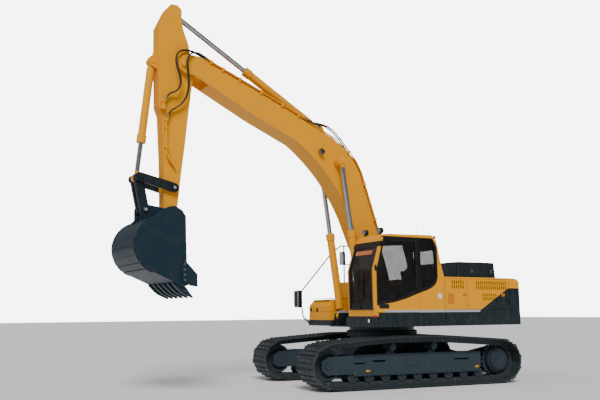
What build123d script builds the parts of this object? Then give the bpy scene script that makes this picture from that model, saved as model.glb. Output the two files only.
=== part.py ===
# Crawler excavator of the 30 t class, in millimetres.
# Frame: +X forward along the boom, +Y to the left where the cab is, +Z up.
# The origin is on the ground under the swing axis.
# The upper structure, boom, arm and bucket stand in this frame, and the
# undercarriage is turned under them by swing_angle, as the machine stands.
import os
from math import acos, atan2, cos, hypot, pi, radians, sin, tan

from build123d import *

os.makedirs("parts", exist_ok=True)

# Clearances
pin_play = 0.4
seat_gap = 0.3
side_play = 5.0

# Stance
swing_angle = 7.36

# Tracks
track_gauge = 2600
tumbler_span = 4030
shoe_count = 48
shoe_width = 800
shoe_plate = 12
grouser_height = 26
shoe_seat = 60
link_depth = 52
link_width = 56
link_offset = 112
tumbler_pitch_radius = 358
idler_rise = 24
sprocket_rise = 14
carrier_height = 805
carrier_radius = 74
carrier_places = (tumbler_span / 2 - 1455, 1595 - tumbler_span / 2)
roller_radius = 84
roller_spacing = 372
roller_play = 0.8
chord_relief = 7

# Track frames
frame_width = 400
frame_low = 262
frame_high = 668
frame_wall = 14
frame_front = tumbler_span / 2 - 535
frame_rear = 515 - tumbler_span / 2
roller_count = int((frame_front - frame_rear) // roller_spacing) + 1
frame_chamfer = 46

# Centre frame and swing bearing
carbody_low = 500
carbody_high = 905
carbody_length = 1500
carbody_width = 1150
tower_radius = 700
bearing_low = 990
bearing_high = 1110
bearing_radius = 780
bearing_bore = 600


# Shape helpers, each working inside the part block that calls it
def slab(points, y_low, y_high, mode=Mode.ADD):
    """Extrude an outline of (x, z) points from y_low to y_high."""
    with BuildSketch(Plane.XZ.offset(-y_high)) as outline:
        with BuildLine():
            Polyline(*points, close=True)
        make_face()
    extrude(outline.sketch, amount=y_high - y_low, mode=mode)


def plate(points, z_low, z_high, mode=Mode.ADD):
    """Extrude a plan outline of (x, y) points from z_low to z_high."""
    with BuildSketch(Plane.XY.offset(z_low)) as outline:
        with BuildLine():
            Polyline(*points, close=True)
        make_face()
    extrude(outline.sketch, amount=z_high - z_low, mode=mode)


def block(x_span, y_span, z_span, mode=Mode.ADD):
    """A box between two limits on each axis."""
    spans = (x_span, y_span, z_span)
    middle = [(low + high) / 2 for low, high in spans]
    with Locations(tuple(middle)):
        Box(*[high - low for low, high in spans], mode=mode)


def bar(start, end, radius, mode=Mode.ADD):
    """A round bar between two points."""
    line = Vector(*end) - Vector(*start)
    with BuildSketch(Plane(origin=start, z_dir=line)) as section:
        Circle(radius)
    extrude(section.sketch, amount=line.length, mode=mode)


def pin_bar(centre, y_low, y_high, radius, mode=Mode.ADD):
    """A round bar across the machine through the (x, z) point centre."""
    x, z = centre
    bar((x, y_low, z), (x, y_high, z), radius, mode)


def write(piece, name, turned=False):
    """Label a finished piece and write it, turned with the undercarriage if asked."""
    solid = piece.part
    if turned:
        solid = solid.rotate(Axis.Z, -swing_angle)
    solid.label = name
    export_step(solid, f"parts/{name}.step")


# Track loop: the line of the link pins round tumblers, carriers and rollers
tip_height = shoe_seat + shoe_plate + grouser_height
idler_centre = (tumbler_span / 2, tip_height + tumbler_pitch_radius + idler_rise)
sprocket_centre = (-tumbler_span / 2, tip_height + tumbler_pitch_radius + sprocket_rise)
roller_centre_z = tip_height + link_depth + roller_play + roller_radius
roller_places = [
    (index - (roller_count - 1) / 2) * roller_spacing for index in range(roller_count)
]
ground_run = roller_places[-1] + 160
carrier_pin_line = carrier_height + carrier_radius + link_depth + chord_relief
# Each stop of the pin line: x, z, radius
pin_line_stops = [
    (*idler_centre, tumbler_pitch_radius),
    (carrier_places[0], carrier_pin_line, 0),
    (carrier_places[1], carrier_pin_line, 0),
    (*sprocket_centre, tumbler_pitch_radius),
    (-ground_run, tip_height, 0),
    (ground_run, tip_height, 0),
]


def tangent_angle(first, second):
    """Angle of the outward normal of the straight run from one stop to the next."""
    dx, dz = second[0] - first[0], second[1] - first[1]
    return atan2(dz, dx) - acos((first[2] - second[2]) / hypot(dx, dz))


def pin_line_pieces():
    """Straight runs and arcs of the pin line, each with its length."""
    pieces = []
    count = len(pin_line_stops)
    for index, stop in enumerate(pin_line_stops):
        before = pin_line_stops[index - 1]
        after = pin_line_stops[(index + 1) % count]
        turn_in = tangent_angle(before, stop)
        turn_out = tangent_angle(stop, after)
        while turn_out < turn_in:
            turn_out += 2 * pi
        x, z, radius = stop
        pieces.append(("arc", radius * (turn_out - turn_in), stop, turn_in))
        start = (x + radius * cos(turn_out), z + radius * sin(turn_out))
        end = (
            after[0] + after[2] * cos(turn_out),
            after[1] + after[2] * sin(turn_out),
        )
        length = hypot(end[0] - start[0], end[1] - start[1])
        pieces.append(("run", length, start, end))
    return pieces


def point_on_pin_line(pieces, distance):
    """The (x, z) point of the pin line at a distance along it."""
    for kind, length, first, second in pieces:
        if distance > length:
            distance -= length
            continue
        if kind == "run":
            share = distance / length
            return tuple(a + (b - a) * share for a, b in zip(first, second))
        x, z, radius = first
        angle = second + distance / radius
        return (x + radius * cos(angle), z + radius * sin(angle))
    return pieces[-1][3]


line_pieces = pin_line_pieces()
track_length = sum(piece[1] for piece in line_pieces)
link_pitch = track_length / shoe_count
pins = [
    point_on_pin_line(line_pieces, (index + 0.25) * link_pitch)
    for index in range(shoe_count)
]
# Shoe outline beside its pins: share of the link's length, extra length, height
shoe_half_gap = 5
link_end_gap = 24
grouser_foot = 15
shoe_outline = [
    (-0.5, shoe_half_gap, shoe_seat + shoe_plate / 2),
    (-0.5, shoe_half_gap, tip_height),
    (-0.5, shoe_half_gap + grouser_foot, shoe_seat + shoe_plate),
    (0, -grouser_foot / 2, shoe_seat + shoe_plate),
    (0, 0, tip_height),
    (0, grouser_foot / 2, shoe_seat + shoe_plate),
    (0.5, -shoe_half_gap - grouser_foot, shoe_seat + shoe_plate),
    (0.5, -shoe_half_gap, tip_height),
]


def loop_points(outline):
    """Repeat an outline of (share, extra, height) on every link of the loop."""
    points = []
    for index, pin in enumerate(pins):
        following = pins[(index + 1) % shoe_count]
        dx, dz = following[0] - pin[0], following[1] - pin[1]
        length = hypot(dx, dz)
        along = (dx / length, dz / length)
        outward = (along[1], -along[0])
        middle = ((pin[0] + following[0]) / 2, (pin[1] + following[1]) / 2)
        for share, extra, height in outline:
            step = share * length + extra
            points.append(
                (
                    middle[0] + along[0] * step + outward[0] * height,
                    middle[1] + along[1] * step + outward[1] * height,
                )
            )
    return points


def loop_ring(outer, inner, y_low, y_high):
    """A closed band between an outer and an inner loop of points."""
    with BuildSketch(Plane.XZ.offset(-y_high)) as band:
        with BuildLine():
            Polyline(*outer, close=True)
        make_face()
        with BuildLine():
            Polyline(*inner, close=True)
        make_face(mode=Mode.SUBTRACT)
    extrude(band.sketch, amount=y_high - y_low)


# Tracks: a shoe band on two rails of links, each one fixed loop
for side, place in (("left", track_gauge / 2), ("right", -track_gauge / 2)):
    with BuildPart() as track:
        rail_seat = loop_points([(0, 0, shoe_seat)])
        loop_ring(
            loop_points(shoe_outline),
            rail_seat,
            place - shoe_width / 2,
            place + shoe_width / 2,
        )
        for rail in (-link_offset, link_offset):
            loop_ring(
                loop_points([(0, 0, shoe_seat + shoe_plate / 3)]),
                loop_points([(-0.5, link_end_gap, -link_depth), (0.5, -link_end_gap, -link_depth)]),
                place + rail - link_width / 2,
                place + rail + link_width / 2,
            )
    write(track, f"track_{side}", turned=True)

# Idlers: a wheel with a flange that runs between the rails, on its axle block
idler_tread = tumbler_pitch_radius * cos(pi * link_pitch / (2 * pi * tumbler_pitch_radius))
idler_tread = idler_tread - link_depth - seat_gap
idler_flange = idler_tread + 26
rail_inside = link_offset - link_width / 2
rail_outside = link_offset + link_width / 2
idler_hub = 70
fork_wall = 26
fork_inside = frame_width / 2 - fork_wall
for side, place in (("left", track_gauge / 2), ("right", -track_gauge / 2)):
    with BuildPart() as idler:
        centre = (idler_centre[0], place, idler_centre[1])
        with BuildSketch(Plane(origin=centre, x_dir=(0, 1, 0), z_dir=(1, 0, 0))) as half:
            with BuildLine():
                Polyline(
                    (-rail_outside, 0),
                    (-rail_outside, idler_hub),
                    (-rail_inside, idler_hub + 30),
                    (-rail_inside, idler_tread - 70),
                    (-rail_outside, idler_tread - 50),
                    (-rail_outside, idler_tread),
                    (-rail_inside + 6, idler_tread),
                    (-rail_inside + 16, idler_flange),
                    (rail_inside - 16, idler_flange),
                    (rail_inside - 6, idler_tread),
                    (rail_outside, idler_tread),
                    (rail_outside, idler_tread - 50),
                    (rail_inside, idler_tread - 70),
                    (rail_inside, idler_hub + 30),
                    (rail_outside, idler_hub),
                    (rail_outside, 0),
                    close=True,
                )
            make_face()
        revolve(half.sketch, axis=Axis(centre, (0, 1, 0)))
        for way in (-1, 1):
            low, high = sorted((place + way * rail_outside, place + way * (fork_inside - seat_gap)))
            block(
                (idler_centre[0] - 80, idler_centre[0] + 80),
                (low, high),
                (idler_centre[1] - 60, idler_centre[1] + 60),
            )
    write(idler, f"idler_{side}", turned=True)

# Final drives: toothed ring, hub drum with its cover and the motor case inboard
sprocket_teeth = 21
tooth_tip = tumbler_pitch_radius - 12
tooth_root = tumbler_pitch_radius - 50
# Tooth outline: share of the pitch, radius
tooth_flank = ((0.0, tooth_root), (0.28, tooth_root), (0.5, tooth_tip), (0.78, tooth_tip))
tooth_thickness = 66
hub_radius = 262
hub_cover_radius = 200
hub_out = 178
ring_plate = 30
plate_out = -frame_width / 2 + ring_plate
motor_radius = 150
for side, place, out in (("left", track_gauge / 2, 1), ("right", -track_gauge / 2, -1)):
    with BuildPart() as drive:
        points = []
        for tooth in range(sprocket_teeth):
            for share, radius in tooth_flank:
                angle = 2 * pi * (tooth + share) / sprocket_teeth
                points.append(
                    (
                        sprocket_centre[0] + radius * cos(angle),
                        sprocket_centre[1] + radius * sin(angle),
                    )
                )
        slab(points, place - tooth_thickness / 2, place + tooth_thickness / 2)
        # Drum steps outwards from the frame's plate: from, to, radius
        for start, end, radius in (
            (plate_out + seat_gap, hub_out - 40, hub_radius),
            (hub_out - 40, hub_out, hub_cover_radius + 22),
            (hub_out, hub_out + 14, hub_cover_radius),
            (-frame_width / 2 - 190, plate_out + seat_gap, motor_radius),
        ):
            low, high = sorted((place + out * start, place + out * end))
            pin_bar(sprocket_centre, low, high, radius)
    write(drive, f"final_drive_{side}", turned=True)

# Rollers: nine under each frame and two on top, on their shafts
roller_flange = roller_radius + 20
roller_waist = roller_radius - 14
shaft_radius = 38
skirt_wall = 30
skirt_inside = frame_width / 2 - skirt_wall
carrier_width = 150
for side, place, out in (("left", track_gauge / 2, 1), ("right", -track_gauge / 2, -1)):
    with BuildPart() as rollers:
        for x in roller_places:
            centre = (x, roller_centre_z)
            # Roller steps: half width, radius
            for half_width, radius in (
                (skirt_inside - seat_gap, shaft_radius),
                (rail_outside + 20, roller_flange),
                (rail_outside + 4, roller_radius),
                (rail_inside - 4, roller_waist),
            ):
                if radius == roller_flange:
                    for way in (-1, 1):
                        low, high = sorted((place + way * (rail_outside + 4), place + way * half_width))
                        pin_bar(centre, low, high, radius)
                elif radius == roller_radius:
                    for way in (-1, 1):
                        low, high = sorted((place + way * (rail_inside - 4), place + way * half_width))
                        pin_bar(centre, low, high, radius)
                else:
                    pin_bar(centre, place - half_width, place + half_width, radius)
        for x in carrier_places:
            centre = (x, carrier_height)
            pin_bar(centre, place - carrier_width, place + carrier_width, carrier_radius)
    write(rollers, f"rollers_{side}", turned=True)

# Track frames: a hollow beam with slots, the idler fork and the drive plate
# Slots in the outer wall: x from, x to, height above the beam's foot, slot width
slots = (
    (frame_front - 250, frame_front - 10, 232, 26),
    (frame_front - 710, frame_front - 430, 262, 34),
    (frame_rear + 270, frame_rear + 640, 252, 30),
)
channel_high = roller_centre_z + roller_flange + 12
drive_ring_radius = 292
fork_front = idler_centre[0] + 150
for side, place, out in (("left", track_gauge / 2, 1), ("right", -track_gauge / 2, -1)):
    half = frame_width / 2
    with BuildPart() as frame:
        with BuildSketch(Plane(origin=(frame_rear, place, 0), x_dir=(0, 1, 0), z_dir=(1, 0, 0))) as beam:
            with BuildLine():
                Polyline(
                    (-half, frame_low),
                    (-half, frame_high - frame_chamfer),
                    (-half + frame_chamfer * 1.6, frame_high),
                    (half - frame_chamfer * 1.6, frame_high),
                    (half, frame_high - frame_chamfer),
                    (half, frame_low),
                    (skirt_inside, frame_low),
                    (skirt_inside, channel_high),
                    (-skirt_inside, channel_high),
                    (-skirt_inside, frame_low),
                    close=True,
                )
            make_face()
            with BuildLine():
                Polyline(
                    (-half + frame_wall, channel_high + frame_wall),
                    (-half + frame_wall, frame_high - frame_chamfer - 4),
                    (-half + frame_chamfer * 1.6, frame_high - frame_wall),
                    (half - frame_chamfer * 1.6, frame_high - frame_wall),
                    (half - frame_wall, frame_high - frame_chamfer - 4),
                    (half - frame_wall, channel_high + frame_wall),
                    close=True,
                )
            make_face(mode=Mode.SUBTRACT)
        extrude(beam.sketch, amount=frame_front - frame_rear)
        for x_low, x_high, rise, width in slots:
            low, high = sorted((place + out * (half - frame_wall - 2), place + out * (half + 2)))
            block((x_low, x_high), (low, high), (frame_low + rise, frame_low + rise + width), Mode.SUBTRACT)
        # Fork: two cheeks with their slots, joined by the end wall of the beam
        for way in (-1, 1):
            low, high = sorted((place + way * fork_inside, place + way * half))
            slab(
                [
                    (frame_front, frame_low + 40),
                    (frame_front, frame_high),
                    (fork_front - 150, frame_high - 20),
                    (fork_front, idler_centre[1] + 90),
                    (fork_front, idler_centre[1] - 90),
                    (fork_front - 120, frame_low + 40),
                ],
                low,
                high,
            )
        block(
            (frame_front, frame_front + 40),
            (place - half, place + half),
            (channel_high, frame_high),
        )
        # Drive end: wall of the beam and a ring plate on the inboard side
        block(
            (frame_rear - 30, frame_rear),
            (place - half, place + half),
            (channel_high, frame_high),
        )
        low, high = sorted((place - out * half, place - out * (half - ring_plate)))
        slab(
            [
                (frame_rear, channel_high - 60),
                (frame_rear, frame_high),
                (sprocket_centre[0] + 120, sprocket_centre[1] + drive_ring_radius - 20),
                (sprocket_centre[0] + 120, sprocket_centre[1] - drive_ring_radius + 20),
            ],
            low,
            high,
        )
        pin_bar(sprocket_centre, low, high, drive_ring_radius)
        pin_bar(sprocket_centre, low - 1, high + 1, motor_radius + pin_play, Mode.SUBTRACT)
        # Carrier roller brackets on top of the beam
        for x in carrier_places:
            slab(
                [
                    (x - 95, frame_high - 1),
                    (x - 50, carrier_height - carrier_radius - seat_gap),
                    (x + 50, carrier_height - carrier_radius - seat_gap),
                    (x + 95, frame_high - 1),
                ],
                place - 60,
                place + 60,
            )
    write(frame, f"track_frame_{side}", turned=True)

# Centre frame: a box under the swing bearing with four tapered legs
leg_inner = track_gauge / 2 - frame_width / 2 - seat_gap
leg_outside = frame_front - 160
leg_inside = leg_outside - 700
leg_foot_low = 380
leg_foot_high = 640
with BuildPart() as carbody:
    with BuildSketch(Plane.XY.offset(carbody_low)) as belly:
        RectangleRounded(carbody_length, carbody_width, 180)
    extrude(belly.sketch, amount=carbody_high - carbody_low)
    with BuildSketch(Plane.XY.offset(carbody_high)) as tower:
        Circle(tower_radius)
    extrude(tower.sketch, amount=bearing_low - carbody_high)
    # Legs, each tapering from the box to a track frame
    for along in (-1, 1):
        for across in (-1, 1):
            with BuildSketch(Plane.XZ.offset(-across * leg_inner)) as foot:
                with BuildLine():
                    Polyline(
                        (along * leg_inside, leg_foot_low),
                        (along * leg_outside, leg_foot_low),
                        (along * leg_outside, leg_foot_high),
                        (along * leg_inside, leg_foot_high),
                        close=True,
                    )
                make_face()
            with BuildSketch(Plane.XZ.offset(-across * (carbody_width / 2 - 160))) as root:
                with BuildLine():
                    Polyline(
                        (along * 150, carbody_low + 20),
                        (along * (carbody_length / 2 - 60), carbody_low + 20),
                        (along * (carbody_length / 2 - 60), carbody_high - 40),
                        (along * 150, carbody_high - 40),
                        close=True,
                    )
                make_face()
            loft([foot.sketch.face(), root.sketch.face()], ruled=True)
write(carbody, "carbody", turned=True)

# Swing bearing: the fixed ring, bolted to the tower
with BuildPart() as swing_bearing:
    with BuildSketch(Plane.XY.offset(bearing_low)) as ring:
        Circle(bearing_radius)
        Circle(bearing_bore, mode=Mode.SUBTRACT)
    extrude(ring.sketch, amount=bearing_high - bearing_low)
    edge = swing_bearing.edges().filter_by(GeomType.CIRCLE).sort_by(Axis.Z)[-2:]
    chamfer(edge.sort_by(SortBy.RADIUS)[-1], 20)
write(swing_bearing, "swing_bearing", turned=True)

# Upper structure
deck_low = 1205
deck_high = 1400
side_deck = 1330
deck_wall = 30
side_out = 1490
hood_front = -575
hood_rear = -2482
hood_high = 2235
hood_wall = 30
hood_step = -1270
tank_side = -560
tail_radius = 3150
weight_front = -2490
weight_round = 110
centre_half = 330
centre_plate = 36
boom_foot = (80, 1980)
boom_foot_pin = 60
boom_cylinder_foot = (800, 1420)
cylinder_pin = 48
boom_cylinder_lane = 420
boom_cylinder_eye = 96
clevis_plate = 30
cab_rear = -560

flange_low = bearing_high + seat_gap
clevis_inside = boom_cylinder_lane + boom_cylinder_eye / 2 + 4
clevis_outside = clevis_inside + clevis_plate
deck_inside = clevis_outside + 16

# Revolving frame: bearing flange, bed plate, two main plates, decks on both sides
with BuildPart() as revolving_frame:
    with BuildSketch(Plane.XY.offset(flange_low)) as flange:
        Circle(bearing_radius - 60)
        Circle(bearing_bore + 20, mode=Mode.SUBTRACT)
    extrude(flange.sketch, amount=deck_low - flange_low)
    block((weight_front, 1040), (-deck_inside - 10, deck_inside + 10), (deck_low - 15, deck_low + 15))
    for way in (-1, 1):
        low, high = sorted((way * centre_half, way * (centre_half + centre_plate)))
        slab(
            [
                (950, deck_low),
                (930, 1380),
                (890, 1520),
                (560, 1640),
                (260, 2060),
                (-60, 2120),
                (-260, 1990),
                (cab_rear + 20, 1325),
                (weight_front, 1325),
                (weight_front, deck_low),
            ],
            low,
            high,
        )
        pin_bar(boom_foot, low, high, 150)
        low, high = sorted((way * clevis_inside, way * clevis_outside))
        slab(
            [
                (950, deck_low),
                (930, 1380),
                (890, 1520),
                (700, 1520),
                (560, 1360),
                (480, deck_low),
            ],
            low,
            high,
        )
    for way in (-1, 1):
        low, high = sorted((way * (centre_half - 12), way * (clevis_outside + 25)))
        pin_bar(boom_cylinder_foot, low, high, cylinder_pin)
    pin_bar(boom_foot, -centre_half - centre_plate - 30, centre_half + centre_plate + 30, boom_foot_pin)
    # Left deck under the cab and right deck under the tanks, open below
    # Deck columns: x from, x to, y from, y to, height
    decks = (
        (cab_rear, 1290, deck_inside, side_out, deck_high),
        (weight_front, cab_rear, centre_half + 10, side_out, side_deck),
        (weight_front, 1010, -side_out + 20, -deck_inside, side_deck),
    )
    for x_low, x_high, y_low, y_high, height in decks:
        block((x_low, x_high), (y_low, y_high), (deck_low, height))
        block(
            (x_low + deck_wall, x_high - deck_wall),
            (y_low + deck_wall, y_high - deck_wall),
            (deck_low - 20, height - 50),
            Mode.SUBTRACT,
        )
write(revolving_frame, "revolving_frame")

# Counterweight: cast block with a round tail and two lifting eyes
eye_bore = 30
eye_place = 620
with BuildPart() as counterweight:
    with BuildSketch(Plane.XY.offset(deck_low)) as tail:
        with BuildLine():
            corner = -((tail_radius**2 - side_out**2) ** 0.5)
            ThreePointArc((corner, side_out), (-tail_radius, 0), (corner, -side_out))
            Polyline(
                (corner, -side_out),
                (weight_front - seat_gap, -side_out),
                (weight_front - seat_gap, side_out),
                (corner, side_out),
            )
        make_face()
    extrude(tail.sketch, amount=hood_high - deck_low)
    top = counterweight.faces().sort_by(Axis.Z)[-1]
    rear_edges = top.edges().sort_by(Axis.X)[:-1]
    fillet(rear_edges, weight_round)
    for way in (-1, 1):
        y = way * eye_place
        slab(
            [
                (-2800, hood_high - 5),
                (-2770, hood_high + 90),
                (-2690, hood_high + 90),
                (-2660, hood_high - 5),
            ],
            y - 25,
            y + 25,
        )
        pin_bar((-2730, hood_high + 45), y - 30, y + 30, eye_bore, Mode.SUBTRACT)
write(counterweight, "counterweight")

# Louvres: slanted slots in a panel whose outer face looks along way
slot_width = 26
slot_pitch = 62
slot_lean = 22


def louvres(x_low, x_high, rows, face, way):
    """Cut rows of leaning slots, each row as (z from, z to), through a side panel."""
    for z_low, z_high in rows:
        count = int((x_high - x_low - slot_lean) / slot_pitch)
        for index in range(count):
            x = x_low + index * slot_pitch
            low, high = sorted((face - way * (hood_wall + 20), face + way * 5))
            slab(
                [
                    (x, z_low),
                    (x + slot_width, z_low),
                    (x + slot_width + slot_lean, z_high),
                    (x + slot_lean, z_high),
                ],
                low,
                high,
                Mode.SUBTRACT,
            )


door_gap = 6
hinge_pin = 7
hinge_barrel = 14
hinge_height = 60
hinge_leaf = 46
fixed_leaf = 35


def hinge_place(edge, face, way):
    """Plan place of a side door's hinge axis, beside the door's rear edge."""
    return (edge - door_gap / 2, face + way * (hinge_barrel + seat_gap))


def hinge_halves(edge, face, way, heights, on_door):
    """Hinge barrels with their leaves: the door's lower ones, or the fixed upper ones with pins."""
    x, y = hinge_place(edge, face, way)
    leaf = sorted((face, face + way * 6))
    for height in heights:
        if on_door:
            bar((x, y, height), (x, y, height + hinge_height - 1), hinge_barrel)
            block((edge + 1, edge + hinge_leaf), leaf, (height, height + hinge_height - 1))
            low, high = sorted((face + way * 1, y))
            block((x, edge + 4), (low, high), (height, height + hinge_height - 1))
            bar((x, y, height - 1), (x, y, height + hinge_height), hinge_pin + pin_play, Mode.SUBTRACT)
        else:
            base = height + hinge_height
            bar((x, y, base), (x, y, base + hinge_height), hinge_barrel)
            bar((x, y, height), (x, y, base + 1), hinge_pin)
            block((x - fixed_leaf, x - 4), leaf, (base, base + hinge_height))
            low, high = sorted((face + way * 1, y))
            block((x - 8, x), (low, high), (base, base + hinge_height))


door_low = 1545
door_high = 2195
# Service doors: name, x from, x to, side, louvre fields as x from, x to, z from, z to
service_doors = (
    ("service_door_front", -1186, -600, 1, ((-1121, -684, 1989, 2162),)),
    ("service_door_rear", -2450, -1232, 1, ((-2376, -1421, 1971, 2158), (-2074, -1602, 1740, 1884))),
    ("pump_door", -2450, -1300, -1, ((-2300, -1450, 1930, 2140),)),
)
cover_x = (-2470, -1290)
cover_y = (-750, 1120)
cover_high = 2600
cover_hinge = (cover_x[1] + hinge_barrel + 5, hood_high + hinge_barrel + seat_gap)
cover_hinge_places = (-560, 900)

# Hood: a hollow shell with door openings at the sides and one under the cover
with BuildPart() as hood:
    plate(
        [
            (hood_front, tank_side + 20),
            (hood_front, side_out),
            (hood_rear, side_out),
            (hood_rear, -side_out + 10),
            (hood_step, -side_out + 10),
            (hood_step, tank_side + 20),
        ],
        side_deck + seat_gap,
        hood_high,
    )
    plate(
        [
            (hood_front - hood_wall, tank_side + 20 + hood_wall),
            (hood_front - hood_wall, side_out - hood_wall),
            (hood_rear + hood_wall, side_out - hood_wall),
            (hood_rear + hood_wall, -side_out + 10 + hood_wall),
            (hood_step - hood_wall, -side_out + 10 + hood_wall),
            (hood_step - hood_wall, tank_side + 20 + hood_wall),
        ],
        1320,
        hood_high - hood_wall,
        Mode.SUBTRACT,
    )
    top_edges = hood.edges().filter_by(Axis.X).group_by(Axis.Z)[-1]
    fillet(top_edges.filter_by(lambda edge: edge.center().Y > side_out - 5), 24)
    for name, x_low, x_high, way, fields in service_doors:
        face = side_out if way > 0 else -side_out + 10
        low, high = sorted((face - way * (hood_wall + 15), face + way * 20))
        block(
            (x_low - door_gap, x_high + door_gap),
            (low, high),
            (door_low - door_gap, door_high + door_gap),
            Mode.SUBTRACT,
        )
        hinge_halves(x_low, face, way, (door_low + 90, door_high - 210), False)
    block(
        (cover_x[0] + 90, cover_x[1] - 60),
        (cover_y[0] + 60, cover_y[1] - 60),
        (hood_high - hood_wall - 10, hood_high + 10),
        Mode.SUBTRACT,
    )
    for y in cover_hinge_places:
        pin_bar(cover_hinge, y + hinge_height, y + 2 * hinge_height, hinge_barrel)
        pin_bar(cover_hinge, y, y + hinge_height + 1, hinge_pin)
        block(
            (cover_hinge[0], cover_hinge[0] + hinge_leaf),
            (y + hinge_height, y + 2 * hinge_height),
            (hood_high - 1, hood_high + 6),
        )
write(hood, "hood")

# Service doors: panels in the hood's openings, hinged at their rear edges
for name, x_low, x_high, way, fields in service_doors:
    face = side_out if way > 0 else -side_out + 10
    with BuildPart() as door:
        low, high = sorted((face, face - way * hood_wall))
        block((x_low, x_high), (low, high), (door_low, door_high))
        for x_from, x_to, z_from, z_to in fields:
            middle = (z_from + z_to) / 2
            louvres(x_from, x_to, ((z_from, middle - 8), (middle + 8, z_to)), face, way)
        hinge_halves(x_low, face, way, (door_low + 90, door_high - 210), True)
    write(door, name)

# Engine cover: a raised box with sloping sides on the hood
with BuildPart() as engine_cover:
    base = hood_high + side_play
    with BuildSketch(Plane.XY.offset(base)) as foot:
        with Locations(((cover_x[0] + cover_x[1]) / 2, (cover_y[0] + cover_y[1]) / 2)):
            RectangleRounded(cover_x[1] - cover_x[0], cover_y[1] - cover_y[0], 70)
    extrude(foot.sketch, amount=cover_high - base, taper=5)
    fillet(engine_cover.faces().sort_by(Axis.Z)[-1].edges(), 28)
    offset(amount=-hood_wall * 0.6, openings=engine_cover.faces().sort_by(Axis.Z)[0])
    for y in cover_hinge_places:
        pin_bar(cover_hinge, y, y + hinge_height - 1, hinge_barrel)
        block(
            (cover_x[1] - 14, cover_hinge[0]),
            (y, y + hinge_height - 1),
            (base, base + 7),
        )
        pin_bar(cover_hinge, y - 1, y + hinge_height, hinge_pin + pin_play, Mode.SUBTRACT)
write(engine_cover, "engine_cover")

# Engine and cooler: plain blocks at their places
engine_x = (-2320, -1330)
with BuildPart() as engine:
    block(engine_x, (-420, 760), (side_deck + seat_gap, 2130))
write(engine, "engine")
with BuildPart() as radiator:
    block((-1180, -760), (640, 1440), (side_deck + seat_gap, 2140))
write(radiator, "radiator")

# Tanks on the right side: fuel in front, hydraulic oil behind
tank_out = -side_out + 12
tank_high = 2200
with BuildPart() as fuel_tank:
    block((-480, 262), (tank_out, tank_side), (side_deck + seat_gap, tank_high))
    fillet(fuel_tank.edges().filter_by(Axis.X).group_by(Axis.Z)[-1], 60)
    fillet(fuel_tank.edges().filter_by(Axis.Z).group_by(Axis.X)[-1], 40)
    with BuildSketch(Plane.XY.offset(tank_high)) as cap:
        with Locations((-250, -1050)):
            Circle(75)
    extrude(cap.sketch, amount=45)
write(fuel_tank, "fuel_tank")
with BuildPart() as hydraulic_tank:
    block((hood_step + 12, -492), (tank_out, tank_side), (side_deck + seat_gap, tank_high))
    fillet(hydraulic_tank.edges().filter_by(Axis.X).group_by(Axis.Z)[-1], 60)
    with BuildSketch(Plane.XY.offset(tank_high)) as filter_cover:
        with Locations((-880, -1000)):
            Circle(120)
    extrude(filter_cover.sketch, amount=30)
write(hydraulic_tank, "hydraulic_tank")

# Tool box: open tray with a sloping lid hinged on its tall rear wall
box_front = 1000
box_rear = 284
box_wall = 14
box_y = (-1455, -600)
box_low = side_deck + seat_gap
box_high = 1520
lid_high = 1800
lid_low_front = 1650
lid_rear = box_rear + box_wall + 6
lid_hinge = (box_rear + box_wall / 2, lid_high - 4)
lid_hinge_places = (-1300, -820)
with BuildPart() as tool_box:
    block((box_rear, box_front), box_y, (box_low, box_high))
    block(
        (box_rear + box_wall, box_front - box_wall),
        (box_y[0] + box_wall, box_y[1] - box_wall),
        (box_low + box_wall, box_high + 10),
        Mode.SUBTRACT,
    )
    block((box_rear, box_rear + box_wall), box_y, (box_high - 10, lid_high - hinge_barrel - 8))
    for y in lid_hinge_places:
        pin_bar(lid_hinge, y + hinge_height, y + 2 * hinge_height, hinge_barrel)
        pin_bar(lid_hinge, y, y + hinge_height + 1, hinge_pin)
        block(
            (box_rear, box_rear + box_wall),
            (y + hinge_height, y + 2 * hinge_height),
            (lid_high - 30, lid_high - 8),
        )
write(tool_box, "tool_box")
with BuildPart() as tool_box_lid:
    slab(
        [
            (lid_rear, box_high + side_play),
            (lid_rear, lid_high),
            (box_front - 140, lid_high - 10),
            (box_front, lid_low_front),
            (box_front, box_high + side_play),
        ],
        *box_y,
    )
    fillet(tool_box_lid.edges().filter_by(Axis.Y).sort_by(Axis.Z)[-1], 8)
    slab(
        [
            (lid_rear + box_wall, box_high - 10),
            (lid_rear + box_wall, lid_high - box_wall - 6),
            (box_front - 150, lid_high - box_wall - 16),
            (box_front - box_wall, lid_low_front - 10),
            (box_front - box_wall, box_high - 10),
        ],
        box_y[0] + box_wall,
        box_y[1] - box_wall,
        Mode.SUBTRACT,
    )
    for y in lid_hinge_places:
        block(
            (lid_rear - 1, lid_hinge[0] + hinge_barrel + 2),
            (y - 2, y + 2 * hinge_height + 2),
            (lid_high - 2 * hinge_barrel - 4, lid_high + 40),
            Mode.SUBTRACT,
        )
        pin_bar(lid_hinge, y, y + hinge_height - 1, hinge_barrel)
        block(
            (lid_hinge[0], lid_hinge[0] + hinge_barrel + 8),
            (y, y + hinge_height - 1),
            (lid_hinge[1] - 4, lid_hinge[1] + 4),
        )
        pin_bar(lid_hinge, y - 1, y + hinge_height, hinge_pin + pin_play, Mode.SUBTRACT)
write(tool_box_lid, "tool_box_lid")

# Cab: a hollow shell with window openings, its door a separate panel
cab_low = deck_high + seat_gap
cab_inner = 570
cab_wall = 45
cab_outline = [
    (1262, cab_low),
    (1276, 2352),
    (1110, 2860),
    (968, 3078),
    (-251, 3105),
    (-385, 2984),
    (-480, 2540),
    (cab_rear, 2245),
    (cab_rear, cab_low),
]
door_rear = 132
door_front = 1226
door_foot = 1500
door_head = 3015
door_panel = 40
cab_hinges = (1620, 2480)
glass = 8


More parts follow.
